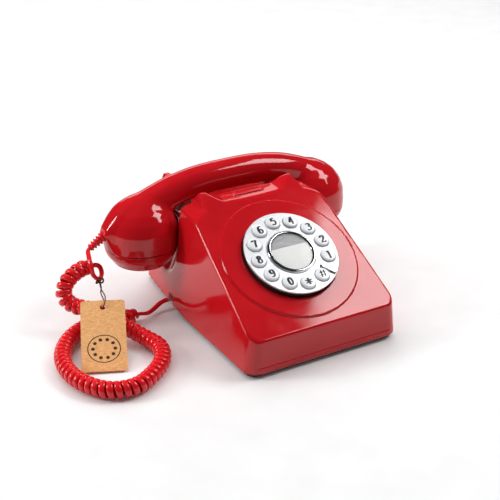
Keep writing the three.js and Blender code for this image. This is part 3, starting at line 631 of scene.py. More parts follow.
def cord_line():
    """The cable's centreline, the direction of its width and half its width, for lead, coil and lead in
    one, and how many of its points come before the place where the coil lies down on the desk."""
    axis = through(HANDSET_LEAD + CURL + BASE_LEAD, SPAN_STEPS)
    lengths = along(axis)
    curl_lengths = lengths[SPAN_STEPS * len(HANDSET_LEAD) :: SPAN_STEPS]
    start, split, end = curl_lengths[0], curl_lengths[SPLIT_POINT], curl_lengths[len(CURL) - 1]
    lead_in = np.arange(0, start, LEAD_STEP)
    coil = np.linspace(start, end, int(PER_TURN * (end - start) / COIL_PITCH))
    lead_out = np.linspace(end, lengths[-1], int((lengths[-1] - end) / LEAD_STEP))[1:]
    places = np.concatenate([lead_in, coil, lead_out])
    centre = resampled(axis, places)
    direction = tangents(centre)
    side = carried(centre, np.array([0.0, 0.0, 1.0]))
    other = np.cross(direction, side)
    ramp = np.clip(np.minimum(places - start, end - places) / RAMP, 0, 1)
    ramp = ramp * ramp * (3 - 2 * ramp)
    radius = ramp * (COIL_DIAMETER - CABLE_THICKNESS) / 2
    angle = 2 * math.pi * (places - start) / COIL_PITCH
    out = side * np.cos(angle)[:, None] + other * np.sin(angle)[:, None]
    line = centre + out * radius[:, None]
    wide = unit(direction * ramp[:, None] + other * (1 - ramp[:, None]))
    half_width = (CABLE_WIDTH + COIL_SPREAD * ramp) / 2
    return line, wide, half_width, int(np.searchsorted(places, split))


def make_cord():
    line, wide, half_width, split = cord_line()
    parts = {
        "cord_from_handset": (slice(0, split + 1), ["cord_lead_handset"]),
        "cord_on_desk": (slice(split, len(line)), ["cord_curl", "cord_lead_base"]),
    }
    for name, (part, nodes) in parts.items():
        points, faces = swept(line[part], wide[part], half_width[part], CABLE_THICKNESS / 2)
        mesh = make_mesh(name, points, faces)
        piece = make_piece(name, mesh, red_cord, None, nodes)
        if name == "cord_from_handset":
            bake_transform(piece)
        else:
            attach(piece, "phone")


make_cord()

# ---- distance fields
#
# A rounded solid is a function of x, y and z that is negative inside it and gives the distance to its
# surface near that surface. The functions below join and cut such solids with rounded edges.


def round_max(a, b, radius):
    """The part that a and b share, with its edge rounded."""
    corner = np.hypot(np.maximum(a + radius, 0), np.maximum(b + radius, 0))
    return np.minimum(np.maximum(a, b), -radius) + corner


def round_min(a, b, radius):
    """a and b together, with a fillet in the valley between them."""
    return -round_max(-a, -b, radius)


def round_cut(solid, cutter, radius):
    return round_max(solid, -cutter, radius)


def segment_square(u, v, start, end):
    """Square of the distance to the straight line between two points of a plane."""
    (u0, v0), (u1, v1) = start, end
    du, dv = u1 - u0, v1 - v0
    share = np.clip(((u - u0) * du + (v - v0) * dv) / (du * du + dv * dv), 0, 1)
    return (u - u0 - share * du) ** 2 + (v - v0 - share * dv) ** 2


def outline_distance(outline, u, v):
    """Distance to a closed outline, negative inside."""
    u, v = np.broadcast_arrays(u, v)
    nearest = np.full(u.shape, np.inf)
    inside = np.zeros(u.shape, bool)
    for start, end in zip(outline, np.roll(outline, -1, axis=0)):
        (u0, v0), (u1, v1) = start, end
        if math.hypot(u1 - u0, v1 - v0) < 1e-6:
            continue
        nearest = np.minimum(nearest, segment_square(u, v, start, end))
        if v1 != v0:
            crosses = (v0 > v) != (v1 > v)
            inside ^= crosses & (u < u0 + (v - v0) * (u1 - u0) / (v1 - v0))
    return np.where(inside, -1, 1) * np.sqrt(nearest)


def path_distance(path, u, v):
    """Distance to an open line in a plane."""
    u, v = np.broadcast_arrays(u, v)
    nearest = np.full(u.shape, np.inf)
    for start, end in zip(path, path[1:]):
        nearest = np.minimum(nearest, segment_square(u, v, start, end))
    return np.sqrt(nearest)


def box_distance(x, y, z, low, high, radius):
    parts = []
    for value, a, b in zip((x, y, z), low, high):
        parts.append(np.abs(value - (a + b) / 2) - (b - a) / 2 + radius)
    outside = np.sqrt(sum(np.maximum(part, 0) ** 2 for part in parts))
    within = np.minimum(np.maximum(np.maximum(parts[0], parts[1]), parts[2]), 0)
    return outside + within - radius


def box_cut(solid, x, y, z, low, high):
    return round_cut(solid, box_distance(x, y, z, low, high, 1), 0.5)


SLOPE_STEP = 0.05
SMALLEST_SLOPE = 0.05
SURFACE_PASSES = 3


def slope_of(solid, points):
    """The field's gradient at points."""
    found = []
    for axis in range(3):
        move = np.zeros(3)
        move[axis] = SLOPE_STEP
        ahead = solid(*(points + move).T)
        behind = solid(*(points - move).T)
        found.append((ahead - behind) / (2 * SLOPE_STEP))
    return np.stack(found, 1)


def surface_of(solid, low, high, step):
    """Points, faces and normals of the surface where the field is zero, by surface nets."""
    axes = [np.arange(a, b + step, step) for a, b in zip(low, high)]
    x, y, z = np.meshgrid(*axes, indexing="ij", sparse=True)
    field = np.broadcast_to(solid(x, y, z), tuple(len(axis) for axis in axes))
    inside = field < 0
    shape = tuple(n - 1 for n in field.shape)

    def corner(grid, i, j, k):
        return grid[i : i + shape[0], j : j + shape[1], k : k + shape[2]]

    corners = [(i, j, k) for i in (0, 1) for j in (0, 1) for k in (0, 1)]
    count = sum(corner(inside, *c).astype(np.int8) for c in corners)
    mixed = (count > 0) & (count < 8)
    number = np.full(shape, -1)
    number[mixed] = np.arange(mixed.sum())
    values = {c: corner(field, *c)[mixed] for c in corners}
    total = np.zeros((int(mixed.sum()), 3))
    crossings = np.zeros(len(total))
    for a in corners:
        for axis in range(3):
            if a[axis]:
                continue
            b = tuple(1 if k == axis else a[k] for k in range(3))
            va, vb = values[a], values[b]
            crossed = (va < 0) != (vb < 0)
            share = np.where(crossed, va / np.where(crossed, va - vb, 1), 0)
            place = np.array(a, float)[None, :] + share[:, None] * (np.arange(3) == axis)
            total += np.where(crossed[:, None], place, 0)
            crossings += crossed
    points = (np.argwhere(mixed) + total / crossings[:, None]) * step + np.array(low, float)
    for _ in range(SURFACE_PASSES):
        slope = slope_of(solid, points)
        size = np.maximum(np.sum(slope * slope, 1), SMALLEST_SLOPE)
        move = solid(*points.T)[:, None] * slope / size[:, None]
        points = points - np.clip(move, -step / 2, step / 2)
    faces = []
    for axis in range(3):
        u, v = (axis + 1) % 3, (axis + 2) % 3
        first = np.moveaxis(inside, (axis, u, v), (0, 1, 2))
        cells = np.moveaxis(number, (axis, u, v), (0, 1, 2))
        start = first[:-1, 1:-1, 1:-1]
        change = start != first[1:, 1:-1, 1:-1]
        quad = np.stack(
            [cells[:, :-1, :-1], cells[:, 1:, :-1], cells[:, 1:, 1:], cells[:, :-1, 1:]], -1
        )[change]
        outward = start[change]
        faces.append(np.where(outward[:, None], quad, quad[:, ::-1]))
    return points, np.concatenate(faces), unit(slope_of(solid, points))


def field_piece(name, solid, low, high, step, material, body, nodes):
    points, faces, normals = surface_of(solid, low, high, step)
    mesh = make_mesh(name, points, faces, normals=normals)
    return make_piece(name, mesh, material, body, nodes)


# ---- the case


def face_depth(z):
    return FRONT_Y + (z - LIP_TOP_Z) / math.tan(FACE_TILT)


def dial_place(x, y, z):
    """A point in the dial's own frame: across, up the slope and out of the face."""
    back, up = y - FRONT_Y, z - LIP_TOP_Z
    slope = back * math.cos(FACE_TILT) + up * math.sin(FACE_TILT) - DIAL_CENTRE_UP_FACE
    return x, slope, up * math.cos(FACE_TILT) - back * math.sin(FACE_TILT)


HORN_FRONT_Y = face_depth(HORN_TIP_Z)
CASE_PROFILE = filleted([
    [FRONT_Y - 9, -60],
    [REAR_Y + 9, -60],
    [REAR_Y + 9, REAR_HORN_TIP_Z],
    [CHANNEL_BACK_Y + 8, REAR_HORN_TIP_Z + 1, 5],
    [CHANNEL_BACK_Y + 4, REAR_HORN_TIP_Z - 5, 5],
    [CHANNEL_BACK_Y, CHANNEL_FLOOR_Z, 8],
    [RIDGE_BACK_Y + 6, CHANNEL_FLOOR_Z, 8],
    [RIDGE_BACK_Y + 2, HORN_TIP_Z - 3, 3],
    [HORN_FRONT_Y + 1.5, HORN_TIP_Z + 0.8, 2.5],
    [FRONT_Y, LIP_TOP_Z, 3.5],
    [FRONT_Y, 10],
    [FRONT_Y - 9, 10],
])


def ridge_outline(drop):
    """What stays below a ridge seen from the front: a saddle between two horns, notched outside them."""
    return filleted(both_sides([
        [90, -60],
        [90, 70],
        [70, 86 - drop, 8],
        [61, SHOULDER_Z - drop, 8],
        [54.5, 94.8 - drop, 6],
        [46.8, 97 - drop, 4.5],
        [45, 102 - drop, 1.5],
        [43.6, HORN_TIP_Z - drop, 1.5],
        [38.5, HORN_TIP_Z - 0.9 - drop, 2.5],
        [28, SADDLE_Z + 0.5 - drop, 16],
        [10, SADDLE_Z - drop, 20],
    ]))


FRONT_RIDGE = ridge_outline(0)
REAR_RIDGE = ridge_outline(HORN_TIP_Z - REAR_HORN_TIP_Z)
HALF_WIDTH_LINE = through([(y, w, 0) for y, w in HALF_WIDTHS], 24)


def block_distance(x, y, z):
    """The case as one solid block, without its base, dial hole or sockets."""
    lean = SIDE_TAPER * (z - CASE_BOTTOM_Z)
    half_width = np.interp(y, HALF_WIDTH_LINE[:, 0], HALF_WIDTH_LINE[:, 1])
    side = (np.abs(x) - half_width + lean) / math.hypot(1, SIDE_TAPER)
    rear = (y - REAR_Y + REAR_TAPER * (z - CASE_BOTTOM_Z)) / math.hypot(1, REAR_TAPER)
    plan = round_max(side, np.maximum(FRONT_Y - y, rear), CORNER_RADIUS)
    solid = round_max(plan, outline_distance(CASE_PROFILE, y, z), 2.2)
    front = outline_distance(FRONT_RIDGE, x, z)
    back = outline_distance(REAR_RIDGE, x, z)
    solid = round_max(solid, np.where(y < CHANNEL_Y, front, back), 1.4)
    below = 0.75 * np.maximum(EAR_SEAM_Z + 5 - z, 0)
    spread = np.hypot(np.abs(x) - EAR_X, y - CHANNEL_Y)
    return round_cut(solid, np.hypot(spread, below) - EAR_RADIUS - EAR_CLEARANCE, 1.6)


def case_distance(x, y, z):
    solid = np.maximum(block_distance(x, y, z), CASE_BOTTOM_Z - z)
    u, v, w = dial_place(x, y, z)
    spread = np.hypot(u, v)
    disc = round_max(spread - FACE_DISC_RADIUS, w - FACE_DISC_RISE, 0.9)
    solid = round_min(solid, np.maximum(disc, -3 - w), 0.7)
    pad_low = (-PAD_HALF_WIDTH, face_depth(SADDLE_Z) + 8, SHOULDER_Z)
    pad_high = (PAD_HALF_WIDTH, RIDGE_BACK_Y - 2, SADDLE_Z + 1.2)
    solid = round_min(solid, box_distance(x, y, z, pad_low, pad_high, 0.7), 0.6)
    for side in (-1, 1):
        rest_low = (side * REST_X - 2.5, CHANNEL_Y - 9, CHANNEL_FLOOR_Z - 2)
        rest_high = (side * REST_X + 2.5, CHANNEL_Y + 9, REST_TOP_Z)
        solid = round_min(solid, box_distance(x, y, z, rest_low, rest_high, 1), 1)
    inner = block_distance(x, y, np.maximum(z, 24)) + WALL
    solid = round_cut(solid, inner, 0.5)
    solid = round_cut(solid, np.maximum(spread - CUP_HOLE_RADIUS, np.abs(w + 4) - 12), 0.5)
    for side in (-1, 1):
        slot_low = (side * SLOT_X - SLOT_HALF_WIDTH, CHANNEL_Y - SLOT_HALF_DEPTH, 70)
        slot_high = (side * SLOT_X + SLOT_HALF_WIDTH, CHANNEL_Y + SLOT_HALF_DEPTH, 84)
        solid = box_cut(solid, x, y, z, slot_low, slot_high)
    jack_low = (-80, JACK_Y - JACK_HALF_WIDTH, 1)
    jack_high = (-60, JACK_Y + JACK_HALF_WIDTH, JACK_Z + 4)
    solid = box_cut(solid, x, y, z, jack_low, jack_high)
    line_low = (LINE_SOCKET_X - LINE_SOCKET_HALF_WIDTH, 95, 7)
    line_high = (LINE_SOCKET_X + LINE_SOCKET_HALF_WIDTH, 110, 16)
    return box_cut(solid, x, y, z, line_low, line_high)


SHELL_STEP = 1.2
CAP_STEP = 0.8

field_piece(
    "case_shell",
    case_distance,
    (-74, -107, 1),
    (74, 107, 108),
    SHELL_STEP,
    red_gloss,
    "phone",
    ["upper_case"],
)

# ---- the handset

HANDLE_HALF = [(84, 0, 85), (68, 0, 92.3), (50, 0, 98.6), (27, 0, 102.4), (0, 0, 103.2)]
HANDLE_POINTS = [(-x, y, z) for x, y, z in HANDLE_HALF] + HANDLE_HALF[-2::-1]
HANDLE_LINE = through(HANDLE_POINTS, 4)[:, [0, 2]]
HANDLE_RADII = [(-84, 14.6), (-66, 13.8), (-48, 13.2), (48, 13.2), (66, 13.6), (84, 14)]
HANDLE_DEPTH_SHARE = 0.985
HOOD_HALF_WIDTH = 7.0
EAR_OUTLINE = filleted(both_sides([
    [EAR_RADIUS - 0.4, 30],
    [EAR_RADIUS, 64, 12],
    [EAR_RADIUS - 0.8, 74, 14],
    [28, 82.5, 16],
    [22.6, 89.5, 16],
    [15, 95.2, 16],
    [5, 98.6, 12],
]))
HOOD_OUTLINE = filleted([
    [-112.7, 62.1, 1],
    [-100, 57.3],
    [-86, 70],
    [-88, 96],
    [-102, 91.5, 8],
    [-116.5, 77.5, 5],
    [-119, 71.9, 1],
])


def handset_block(x, y, z):
    across = y - CHANNEL_Y
    places, radii = zip(*HANDLE_RADII)
    spread = np.hypot(path_distance(HANDLE_LINE, x, z), across * HANDLE_DEPTH_SHARE)
    solid = spread - np.interp(x, places, radii)
    ear = outline_distance(EAR_OUTLINE, np.hypot(np.abs(x) - EAR_X, across), z)
    solid = round_min(solid, ear, 4)
    hood = round_max(outline_distance(HOOD_OUTLINE, x, z), np.abs(across) - HOOD_HALF_WIDTH, 3)
    return round_min(solid, hood, 7)


def handset_distance(x, y, z):
    seam = EAR_SEAM_Z + 0.1
    solid = round_max(handset_block(x, y, z), seam - z, 0.4)
    inner = handset_block(x, y, np.maximum(z, seam + 4)) + HANDSET_WALL
    return round_cut(solid, inner, 0.4)


field_piece(
    "handset_body",
    handset_distance,
    (-124, 22, 53),
    (120, 91, 120),
    SHELL_STEP,
    red_gloss,
    "handset",
    ["handset_shell"],
)


# A cap's section right across it: its wall's outside up to the seam, and its inside back down.
CAP_SECTION = filleted(both_sides([
    [18.5, CAP_BOTTOM_Z, 5],
    [24, CAP_BOTTOM_Z + 2.4, 6],
    [28.2, CAP_BOTTOM_Z + 8.6, 12],
    [EAR_RADIUS - 1.2, EAR_SEAM_Z - 6, 12],
    [EAR_RADIUS - 0.3, EAR_SEAM_Z - 0.1, 0.4],
    [EAR_RADIUS - 3.2, EAR_SEAM_Z - 0.1, 0.4],
    [25.2, CAP_BOTTOM_Z + 9.2, 6],
    [18.5, CAP_BOTTOM_Z + 2.8, 3],
]))


def make_cap(name, node, side):
    def cap_distance(x, y, z):
        u, v = x - side * EAR_X, y - CHANNEL_Y
        solid = outline_distance(CAP_SECTION, np.hypot(u, v), z)
        for ring, count in CAP_HOLE_RINGS:
            for k in range(count):
                angle = 2 * math.pi * k / count
                spread = np.hypot(u - ring * math.cos(angle), v - ring * math.sin(angle))
                hole = np.maximum(spread - CAP_HOLE_RADIUS, z - CAP_BOTTOM_Z - 5)
                solid = round_cut(solid, hole, 0.3)
        return solid

    reach = EAR_RADIUS + 2
    low = (side * EAR_X - reach, CHANNEL_Y - reach, CAP_BOTTOM_Z - 2)
    high = (side * EAR_X + reach, CHANNEL_Y + reach, EAR_SEAM_Z + 2)
    field_piece(name, cap_distance, low, high, CAP_STEP, red_gloss, "handset", [node])


make_cap("mouthpiece", "mouthpiece_cap", -1)
make_cap("earpiece", "earpiece_cap", 1)

# ---- the dial


def key_place(i):
    angle = math.radians(KEY_FIRST_ANGLE + i * KEY_STEP_ANGLE)
    return KEY_CIRCLE_RADIUS * math.cos(angle), KEY_CIRCLE_RADIUS * math.sin(angle)


KEY_TOP = filleted([
    [KEY_RADIUS, PLATE_TOP + 0.4],
    [KEY_RADIUS, PLATE_TOP + 1.5, 0.7],
    [KEY_RADIUS - 1.3, PLATE_TOP + 2.1, 1.2],
    [0, PLATE_TOP + 2.6],
], 5)


def arc(centre, radii, first, last, count=14):
    angles = np.radians(np.linspace(first, last, count))
    return [(centre[0] + radii[0] * math.cos(a), centre[1] + radii[1] * math.sin(a)) for a in angles]


SIX = [
    [(0.47, 0.86), (0.36, 0.95), (0.2, 0.86), (0.11, 0.6), (0.1, 0.34), (0.17, 0.1), (0.32, 0.04)]
    + [(0.47, 0.12), (0.52, 0.3), (0.46, 0.48), (0.33, 0.55), (0.18, 0.46), (0.11, 0.34)]
]
GLYPHS = {
    "0": [arc((0.31, 0.5), (0.21, 0.46), 0, 360, 24)],
    "1": [
        [(0.33, 0.03), (0.33, 0.97)],
        [(0.33, 0.95), (0.24, 0.86), (0.15, 0.83)],
        [(0.16, 0.03), (0.5, 0.03)],
    ],
    "2": [
        [(0.12, 0.7), (0.14, 0.86), (0.3, 0.96), (0.48, 0.86), (0.49, 0.68), (0.36, 0.44)]
        + [(0.18, 0.22), (0.1, 0.06)],
        [(0.1, 0.07), (0.3, 0.08), (0.52, 0.05), (0.54, 0.22)],
    ],
    "3": [
        [(0.12, 0.84), (0.28, 0.96), (0.45, 0.88), (0.46, 0.66), (0.27, 0.53)],
        [(0.27, 0.53), (0.49, 0.46), (0.53, 0.24), (0.4, 0.06), (0.2, 0.05), (0.1, 0.18)],
    ],
    "4": [
        [(0.4, 0.03), (0.4, 0.96)],
        [(0.39, 0.95), (0.22, 0.62), (0.05, 0.3)],
        [(0.05, 0.3), (0.58, 0.3)],
        [(0.26, 0.03), (0.54, 0.03)],
    ],
    "5": [
        [(0.14, 0.93), (0.34, 0.91), (0.49, 0.97)],
        [(0.15, 0.93), (0.13, 0.52)],
        [(0.13, 0.52), (0.3, 0.62), (0.48, 0.52), (0.52, 0.3), (0.4, 0.07), (0.2, 0.05), (0.1, 0.17)],
    ],
    "6": SIX,
    "7": [
        [(0.1, 0.78), (0.11, 0.93), (0.3, 0.89), (0.54, 0.94)],
        [(0.53, 0.93), (0.35, 0.55), (0.26, 0.03)],
    ],
    "8": [arc((0.31, 0.74), (0.16, 0.21), 0, 360, 20), arc((0.31, 0.28), (0.21, 0.25), 0, 360, 20)],
    "9": [[(0.62 - u, 1 - v) for u, v in SIX[0]]],
    "star": [[(0.31, 0.08), (0.31, 0.92)], [(-0.06, 0.29), (0.68, 0.71)], [(-0.06, 0.71), (0.68, 0.29)]],
    "hash": [
        [(0.08, 0.08), (0.18, 0.92)],
        [(0.44, 0.08), (0.54, 0.92)],
        [(-0.08, 0.33), (0.7, 0.33)],
        [(-0.08, 0.67), (0.7, 0.67)],
    ],
}
GLYPH_HEIGHT = 7.4
GLYPH_MIDDLE = (0.31, 0.5)
HALF_NIB = (0.135, 0.055)
HASH_NIB_SHARE = 0.65
NIB_POINTS = (-1, -0.33, 0.33, 1)
INK_RISE = 0.05


def glyph_mesh(name, strokes, centre):
    """A numeral drawn with a broad nib, lying on the domed top of its key."""
    points, faces = [], []
    half_nib = np.array(HALF_NIB) * (HASH_NIB_SHARE if name == "numeral_hash" else 1)
    width = len(NIB_POINTS)
    for stroke in strokes:
        flat = np.array([(u, v, 0) for u, v in stroke], float)
        if len(flat) > 2:
            line = through(flat, 5)[:, :2]
        else:
            line = resampled(flat, np.linspace(0, along(flat)[-1], 8))[:, :2]
        ahead = np.gradient(line, axis=0)
        across = unit(np.stack([-ahead[:, 1], ahead[:, 0]], 1))
        nib = half_nib**2 * across
        nib /= np.sqrt(np.sum((half_nib * across) ** 2, 1))[:, None]
        first = len(points)
        for middle, half in zip(line, nib):
            for k in NIB_POINTS:
                u, v = (middle + half * k - GLYPH_MIDDLE) * GLYPH_HEIGHT
                height = np.interp(math.hypot(u, v), KEY_TOP[::-1, 0], KEY_TOP[::-1, 1])
                points.append((centre[0] + u, centre[1] + v, height + INK_RISE))
        for k in range(len(line) - 1):
            for i in range(width - 1):
                a = first + width * k + i
                faces.append((a, a + width, a + width + 1, a + 1))
    return make_mesh(name, points, faces, dial_frame)


def make_keys():
    stem_bottom = -1.5
    stem_radius = 2.0
    flange_radius = KEY_RADIUS + 0.8
    flange_top = PLATE_TOP - PLATE_THICKNESS - 0.3
    flange_bottom = flange_top - 0.9
    lower = [
        [0, stem_bottom],
        [stem_radius, stem_bottom],
        [stem_radius, flange_bottom],
        [flange_radius, flange_bottom],
        [flange_radius, flange_top],
        [KEY_RADIUS, flange_top],
    ]
    outline = lower + KEY_TOP.tolist()
    for i, key in enumerate(KEY_NAMES):
        centre = key_place(i)
        node = "button_" + key
        place = dial_frame @ Matrix.Translation((centre[0], centre[1], 0))
        turned_piece("key_" + key, outline, key_silver, node, [node], place, 64, 32)
        numeral = glyph_mesh("numeral_" + key, GLYPHS[key], centre)
        make_piece("numeral_" + key, numeral, black_ink, node)


def make_dial():
    holes = [circle(KEY_RADIUS + KEY_CLEARANCE, 48, key_place(i)) for i in range(12)]
    place = dial_frame @ Matrix.Translation((0, 0, PLATE_TOP - PLATE_THICKNESS))
    outlines = [circle(PLATE_RADIUS, 160)] + holes
    nodes = ["dial_plate"]
    flat_piece(
        "dial_face", outlines, PLATE_THICKNESS, 0.3, dial_silver, "phone", nodes, place
    )
    bottom = PLATE_TOP + 0.05
    top = bottom + 2.2
    ring = [
        [BEZEL_INNER_RADIUS, bottom],
        [BEZEL_OUTER_RADIUS, bottom],
        [BEZEL_OUTER_RADIUS, bottom + 0.9, 0.6],
        [BEZEL_OUTER_RADIUS - 1.2, top, 0.9],
        [BEZEL_INNER_RADIUS + 1.1, top, 0.9],
        [BEZEL_INNER_RADIUS, bottom + 1.2, 0.5],
        [BEZEL_INNER_RADIUS, bottom],
    ]
    turned_piece("centre_ring", ring, chrome, "phone", ["label_bezel"], dial_frame, 128, 50)
    label_radius = BEZEL_INNER_RADIUS - 0.1
    label_bottom = PLATE_TOP + 0.1
    label = [
        [0, label_bottom],
        [label_radius, label_bottom],
        [label_radius, PLATE_TOP + 0.6, 0.1],
        [0, PLATE_TOP + 0.65],
    ]
    nodes = ["label_card"]
    turned_piece("centre_label", label, label_face, "phone", nodes, dial_frame, 96, 40)


make_dial()
make_keys()

# ---- tag and twine

TAG_TOP = Vector((-137.4, 20, 31.5))
TAG_BOTTOM = Vector((-161.5, -35.5, 1.6))
TAG_ACROSS = Vector((33, -13, 0))
KNOT = Vector((-130.4, 41.6, 39.4))


def tag_frame():
    up = (TAG_TOP - TAG_BOTTOM).normalized()
    out = TAG_ACROSS.normalized().cross(up).normalized()
    level = up.cross(out).normalized()
    matrix = Matrix((level, up, out)).transposed().to_4x4()
    matrix.translation = TAG_BOTTOM
    return matrix


def make_tag():
    place = tag_frame()
    half = TAG_WIDTH / 2
    corners = [[-half, 0], [half, 0], [half, TAG_LENGTH], [-half, TAG_LENGTH]]
    outline = filleted([[*corner, TAG_CORNER_RADIUS] for corner in corners])
    outlines = [outline, circle(TAG_HOLE_RADIUS, 32, (0, TAG_HOLE_Y))]
    nodes = ["tag_card"]
    flat_piece(
        "swing_tag", outlines, TAG_THICKNESS, 0.12, kraft, "handset", nodes, place
    )
    printed = place @ Matrix.Translation((0, 0, TAG_THICKNESS + 0.01))

    def print_shape(name, outlines):
        flat_piece(name, outlines, MARK_THICKNESS, MARK_BEVEL, tag_ink, "handset", [], printed)

    rims = [circle(radius, 96, MARK_CENTRE) for radius in (MARK_OUTER_RADIUS, MARK_INNER_RADIUS)]
    print_shape("tag_ring", rims)
    for k, spot in enumerate(circle(MARK_DOT_CIRCLE_RADIUS, MARK_DOTS, MARK_CENTRE)):
        print_shape(f"tag_dot_{k}", [circle(MARK_DOT_RADIUS, 24, spot)])


def make_twine():
    """Two strands from the tag's hole to the lead's loop, and a knot there wound as a closed line."""
    place = tag_frame()
    hole = place @ Vector((0, TAG_HOLE_Y, TAG_THICKNESS / 2))
    strands = {
        "twine_front": [
            hole + Vector((0, 0, -0.6)),
            place @ Vector((1.2, TAG_HOLE_Y + 1, 2.6)),
            place @ Vector((2.4, TAG_LENGTH + 2, 2.2)),
            Vector((-132.4, 33.4, 35.6)),
            KNOT,
        ],
        "twine_back": [
            hole,
            place @ Vector((0.8, TAG_HOLE_Y + 3, -2.2)),
            place @ Vector((1.0, TAG_LENGTH + 1.2, -1.4)),
            Vector((-134, 30.5, 33.6)),
            Vector((-130.6, 37.4, 35.4)),
            KNOT,
        ],
    }
    for name, points in strands.items():
        line = through([tuple(p) for p in points], 10)
        shape = swept(line, carried(line, np.array([1.0, 0.2, 0.1])), TWINE_RADIUS, TWINE_RADIUS, 8)
        nodes = ["tag_string"] if name == "twine_front" else []
        make_piece(name, make_mesh(name, *shape), brown_twine, "handset", nodes)
    turns = np.linspace(0, 2 * math.pi, 90, endpoint=False)
    reach = 2.6 + 1.0 * np.cos(3 * turns)
    rise = 1.7 * np.sin(3 * turns)
    wound = np.stack([reach * np.cos(2 * turns), reach * np.sin(2 * turns), rise], 1) + np.array(KNOT)
    wound = np.vstack([wound, wound[:1]])
    shape = swept(wound, carried(wound, np.array([0, 0, 1.0])), 0.75, 0.75, 8)
    make_piece("twine_knot", make_mesh("twine_knot", *shape), brown_twine, "handset", [])


make_tag()
make_twine()

# ---- other pieces and CAD nodes


def make_relief():
    """The sleeve that leads the cable out of the handset: round ribs that get smaller."""
    direction = np.array(relief_point(1)) - np.array(RELIEF_START)
    place = Vector(direction).to_track_quat("Z", "Y").to_matrix().to_4x4()
    place.translation = Vector(RELIEF_START)
    pitch = RELIEF_LENGTH / RELIEF_RIBS
    outline = [[0, -2], [4.2, -2], [4.2, 0.1, 0.2]]
    for i in range(RELIEF_RIBS):
        rib = RIB_RADIUS - RIB_SHRINK * i
        groove = rib - RIB_HEIGHT
        start = 0.3 + i * pitch
        end = start + 0.6 * pitch
        outline += [[groove, start, 0.25], [rib, start + 0.35, 0.5], [rib, end, 0.5]]
        outline += [[groove, end + 0.3, 0.25]]
    outline += [[RELIEF_END_RADIUS, RELIEF_LENGTH + 0.2, 0.4], [0, RELIEF_LENGTH + 0.2]]
    nodes = ["strain_relief"]
    turned_piece("cord_sleeve", outline, red_cord, "handset", nodes, place, 48, 40)


def make_feet():
    outline = [[0, 0], [FOOT_RADIUS - 0.4, 0, 1], [FOOT_RADIUS, FOOT_HEIGHT, 0.4], [0, FOOT_HEIGHT]]
    for name, (x, y) in FOOT_PLACES.items():
        place = Matrix.Translation((x, y, 0))
        turned_piece("rubber_" + name, outline, black_rubber, "phone", [name], place, 64, 40)


make_relief()
make_feet()

MATERIAL_NODES = [
    (black_plastic, ["base_plate", "dial_cup", "handset_socket", "line_socket", "hook_switch"]),
    (clear_grey, ["plunger_left", "plunger_right"]),
    (black_rubber, ["keypad_membrane"]),
    (board_green, ["keypad_board", "main_board"]),
    # the finger stop gets the chrome that is darkened as painted shade
    (shade_darkened_chrome, ["finger_stop"]),
    (clear_window, ["label_window", "cord_plug"]),
    (gong_brass, ["gong_left", "gong_right"]),
    (coil_copper, ["ringer_coil"]),
]
NODE_MATERIALS = {name: material for material, names in MATERIAL_NODES for name in names}
BEVELS = {
    "base_plate": 0.4,
    "plunger_left": 0.5,
    "plunger_right": 0.5,
    "line_socket": 0.4,
    "handset_socket": 0.3,
    "cord_plug": 0.5,
    "finger_stop": 0.2,
}


BEVEL_ANGLE = math.radians(30)


def finish_nodes():
    for name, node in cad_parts.items():
        material = NODE_MATERIALS.get(name, plated_steel)
        node.data.materials.clear()
        node.data.materials.append(material)
        if name in BEVELS:
            bevel = node.modifiers.new("bevel", "BEVEL")
            bevel.width = BEVELS[name] * MM
            bevel.segments = 3
            bevel.limit_method = "ANGLE"
            bevel.angle_limit = BEVEL_ANGLE
            bevel.harden_normals = True
            node.data.shade_smooth()
            node.data.set_sharp_from_angle(angle=BEVEL_ANGLE)


finish_nodes()

# ---- floor and light


FLOOR_REACH = 6.0
FLOOR_GLOW = 0.03


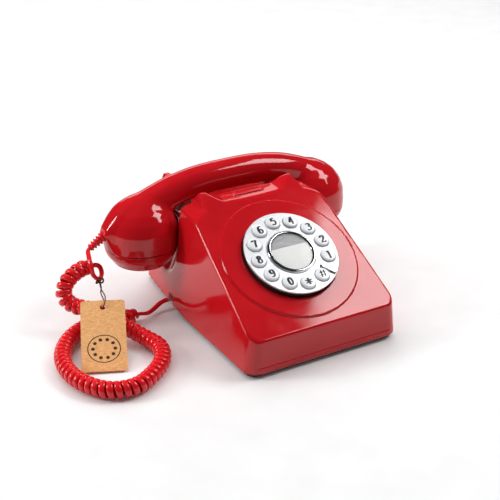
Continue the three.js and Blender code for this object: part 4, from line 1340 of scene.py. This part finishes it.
def make_floor():
    mesh = bpy.data.meshes.new("floor")
    corners = [(x * FLOOR_REACH, y * FLOOR_REACH, 0) for x, y in ((-1, -1), (1, -1), (1, 1), (-1, 1))]
    mesh.from_pydata(corners, [], [(0, 1, 2, 3)])
    floor = new_object("floor", mesh)
    dark, light = (0.8, 0.8, 0.8), (0.84, 0.84, 0.84)
    glow = {"Emission_Color": (1, 1, 1, 1), "Emission_Strength": FLOOR_GLOW}
    floor.data.materials.append(moulded("floor_paper", dark, light, (0.5, 0.6), 0.000005, 300, **glow))


def soft_box(name, place, aim, width, height, watts, seen_in_gloss=True):
    data = bpy.data.lights.new(name, "AREA")
    data.shape = "RECTANGLE"
    data.size = width
    data.size_y = height
    data.energy = watts
    lamp = new_object(name, data)
    lamp.visible_glossy = seen_in_gloss
    lamp.location = place
    lamp.rotation_mode = "QUATERNION"
    lamp.rotation_quaternion = (Vector(aim) - Vector(place)).to_track_quat("-Z", "Y")


WORLD_SEEN = 1.0
WORLD_DIFFUSE = 0.08
WORLD_GLOSSY = 0.03


def make_world():
    """White behind everything, and a dimmer grey in reflections."""
    world = bpy.data.worlds.new("studio")
    world.use_nodes = True
    bpy.context.scene.world = world
    tree = world.node_tree
    rays = tree.nodes.new("ShaderNodeLightPath")
    shader = tree.nodes["Background"]
    shader.inputs["Color"].default_value = (1, 1, 1, 1)
    shader.inputs["Strength"].default_value = WORLD_DIFFUSE
    for ray, strength in (("Is Glossy Ray", WORLD_GLOSSY), ("Is Camera Ray", WORLD_SEEN)):
        other = tree.nodes.new("ShaderNodeBackground")
        other.inputs["Strength"].default_value = strength
        mix = tree.nodes.new("ShaderNodeMixShader")
        tree.links.new(rays.outputs[ray], mix.inputs["Fac"])
        tree.links.new(shader.outputs[0], mix.inputs[1])
        tree.links.new(other.outputs[0], mix.inputs[2])
        other.inputs["Color"].default_value = (1, 1, 1, 1)
        shader = mix
    tree.links.new(shader.outputs["Shader"], tree.nodes["World Output"].inputs["Surface"])
    bpy.context.scene.view_settings.view_transform = "Standard"


make_world()
make_floor()
soft_box("soft_box_right", (0.8, -0.3, 1.0), (0, 0, 0.05), 0.55, 0.55, 8)
soft_box("back_panel", (1.0, 1.9, 0.95), (0, 0, 0.1), 2.2, 0.7, 9)
soft_box("soft_box_left", (-1.1, 0.5, 0.62), (0, 0, 0.06), 0.34, 0.42, 8)
soft_box("ceiling", (-0.1, 1.0, 2.0), (-0.1, 0.6, 0), 3.4, 2.6, 54, seen_in_gloss=False)
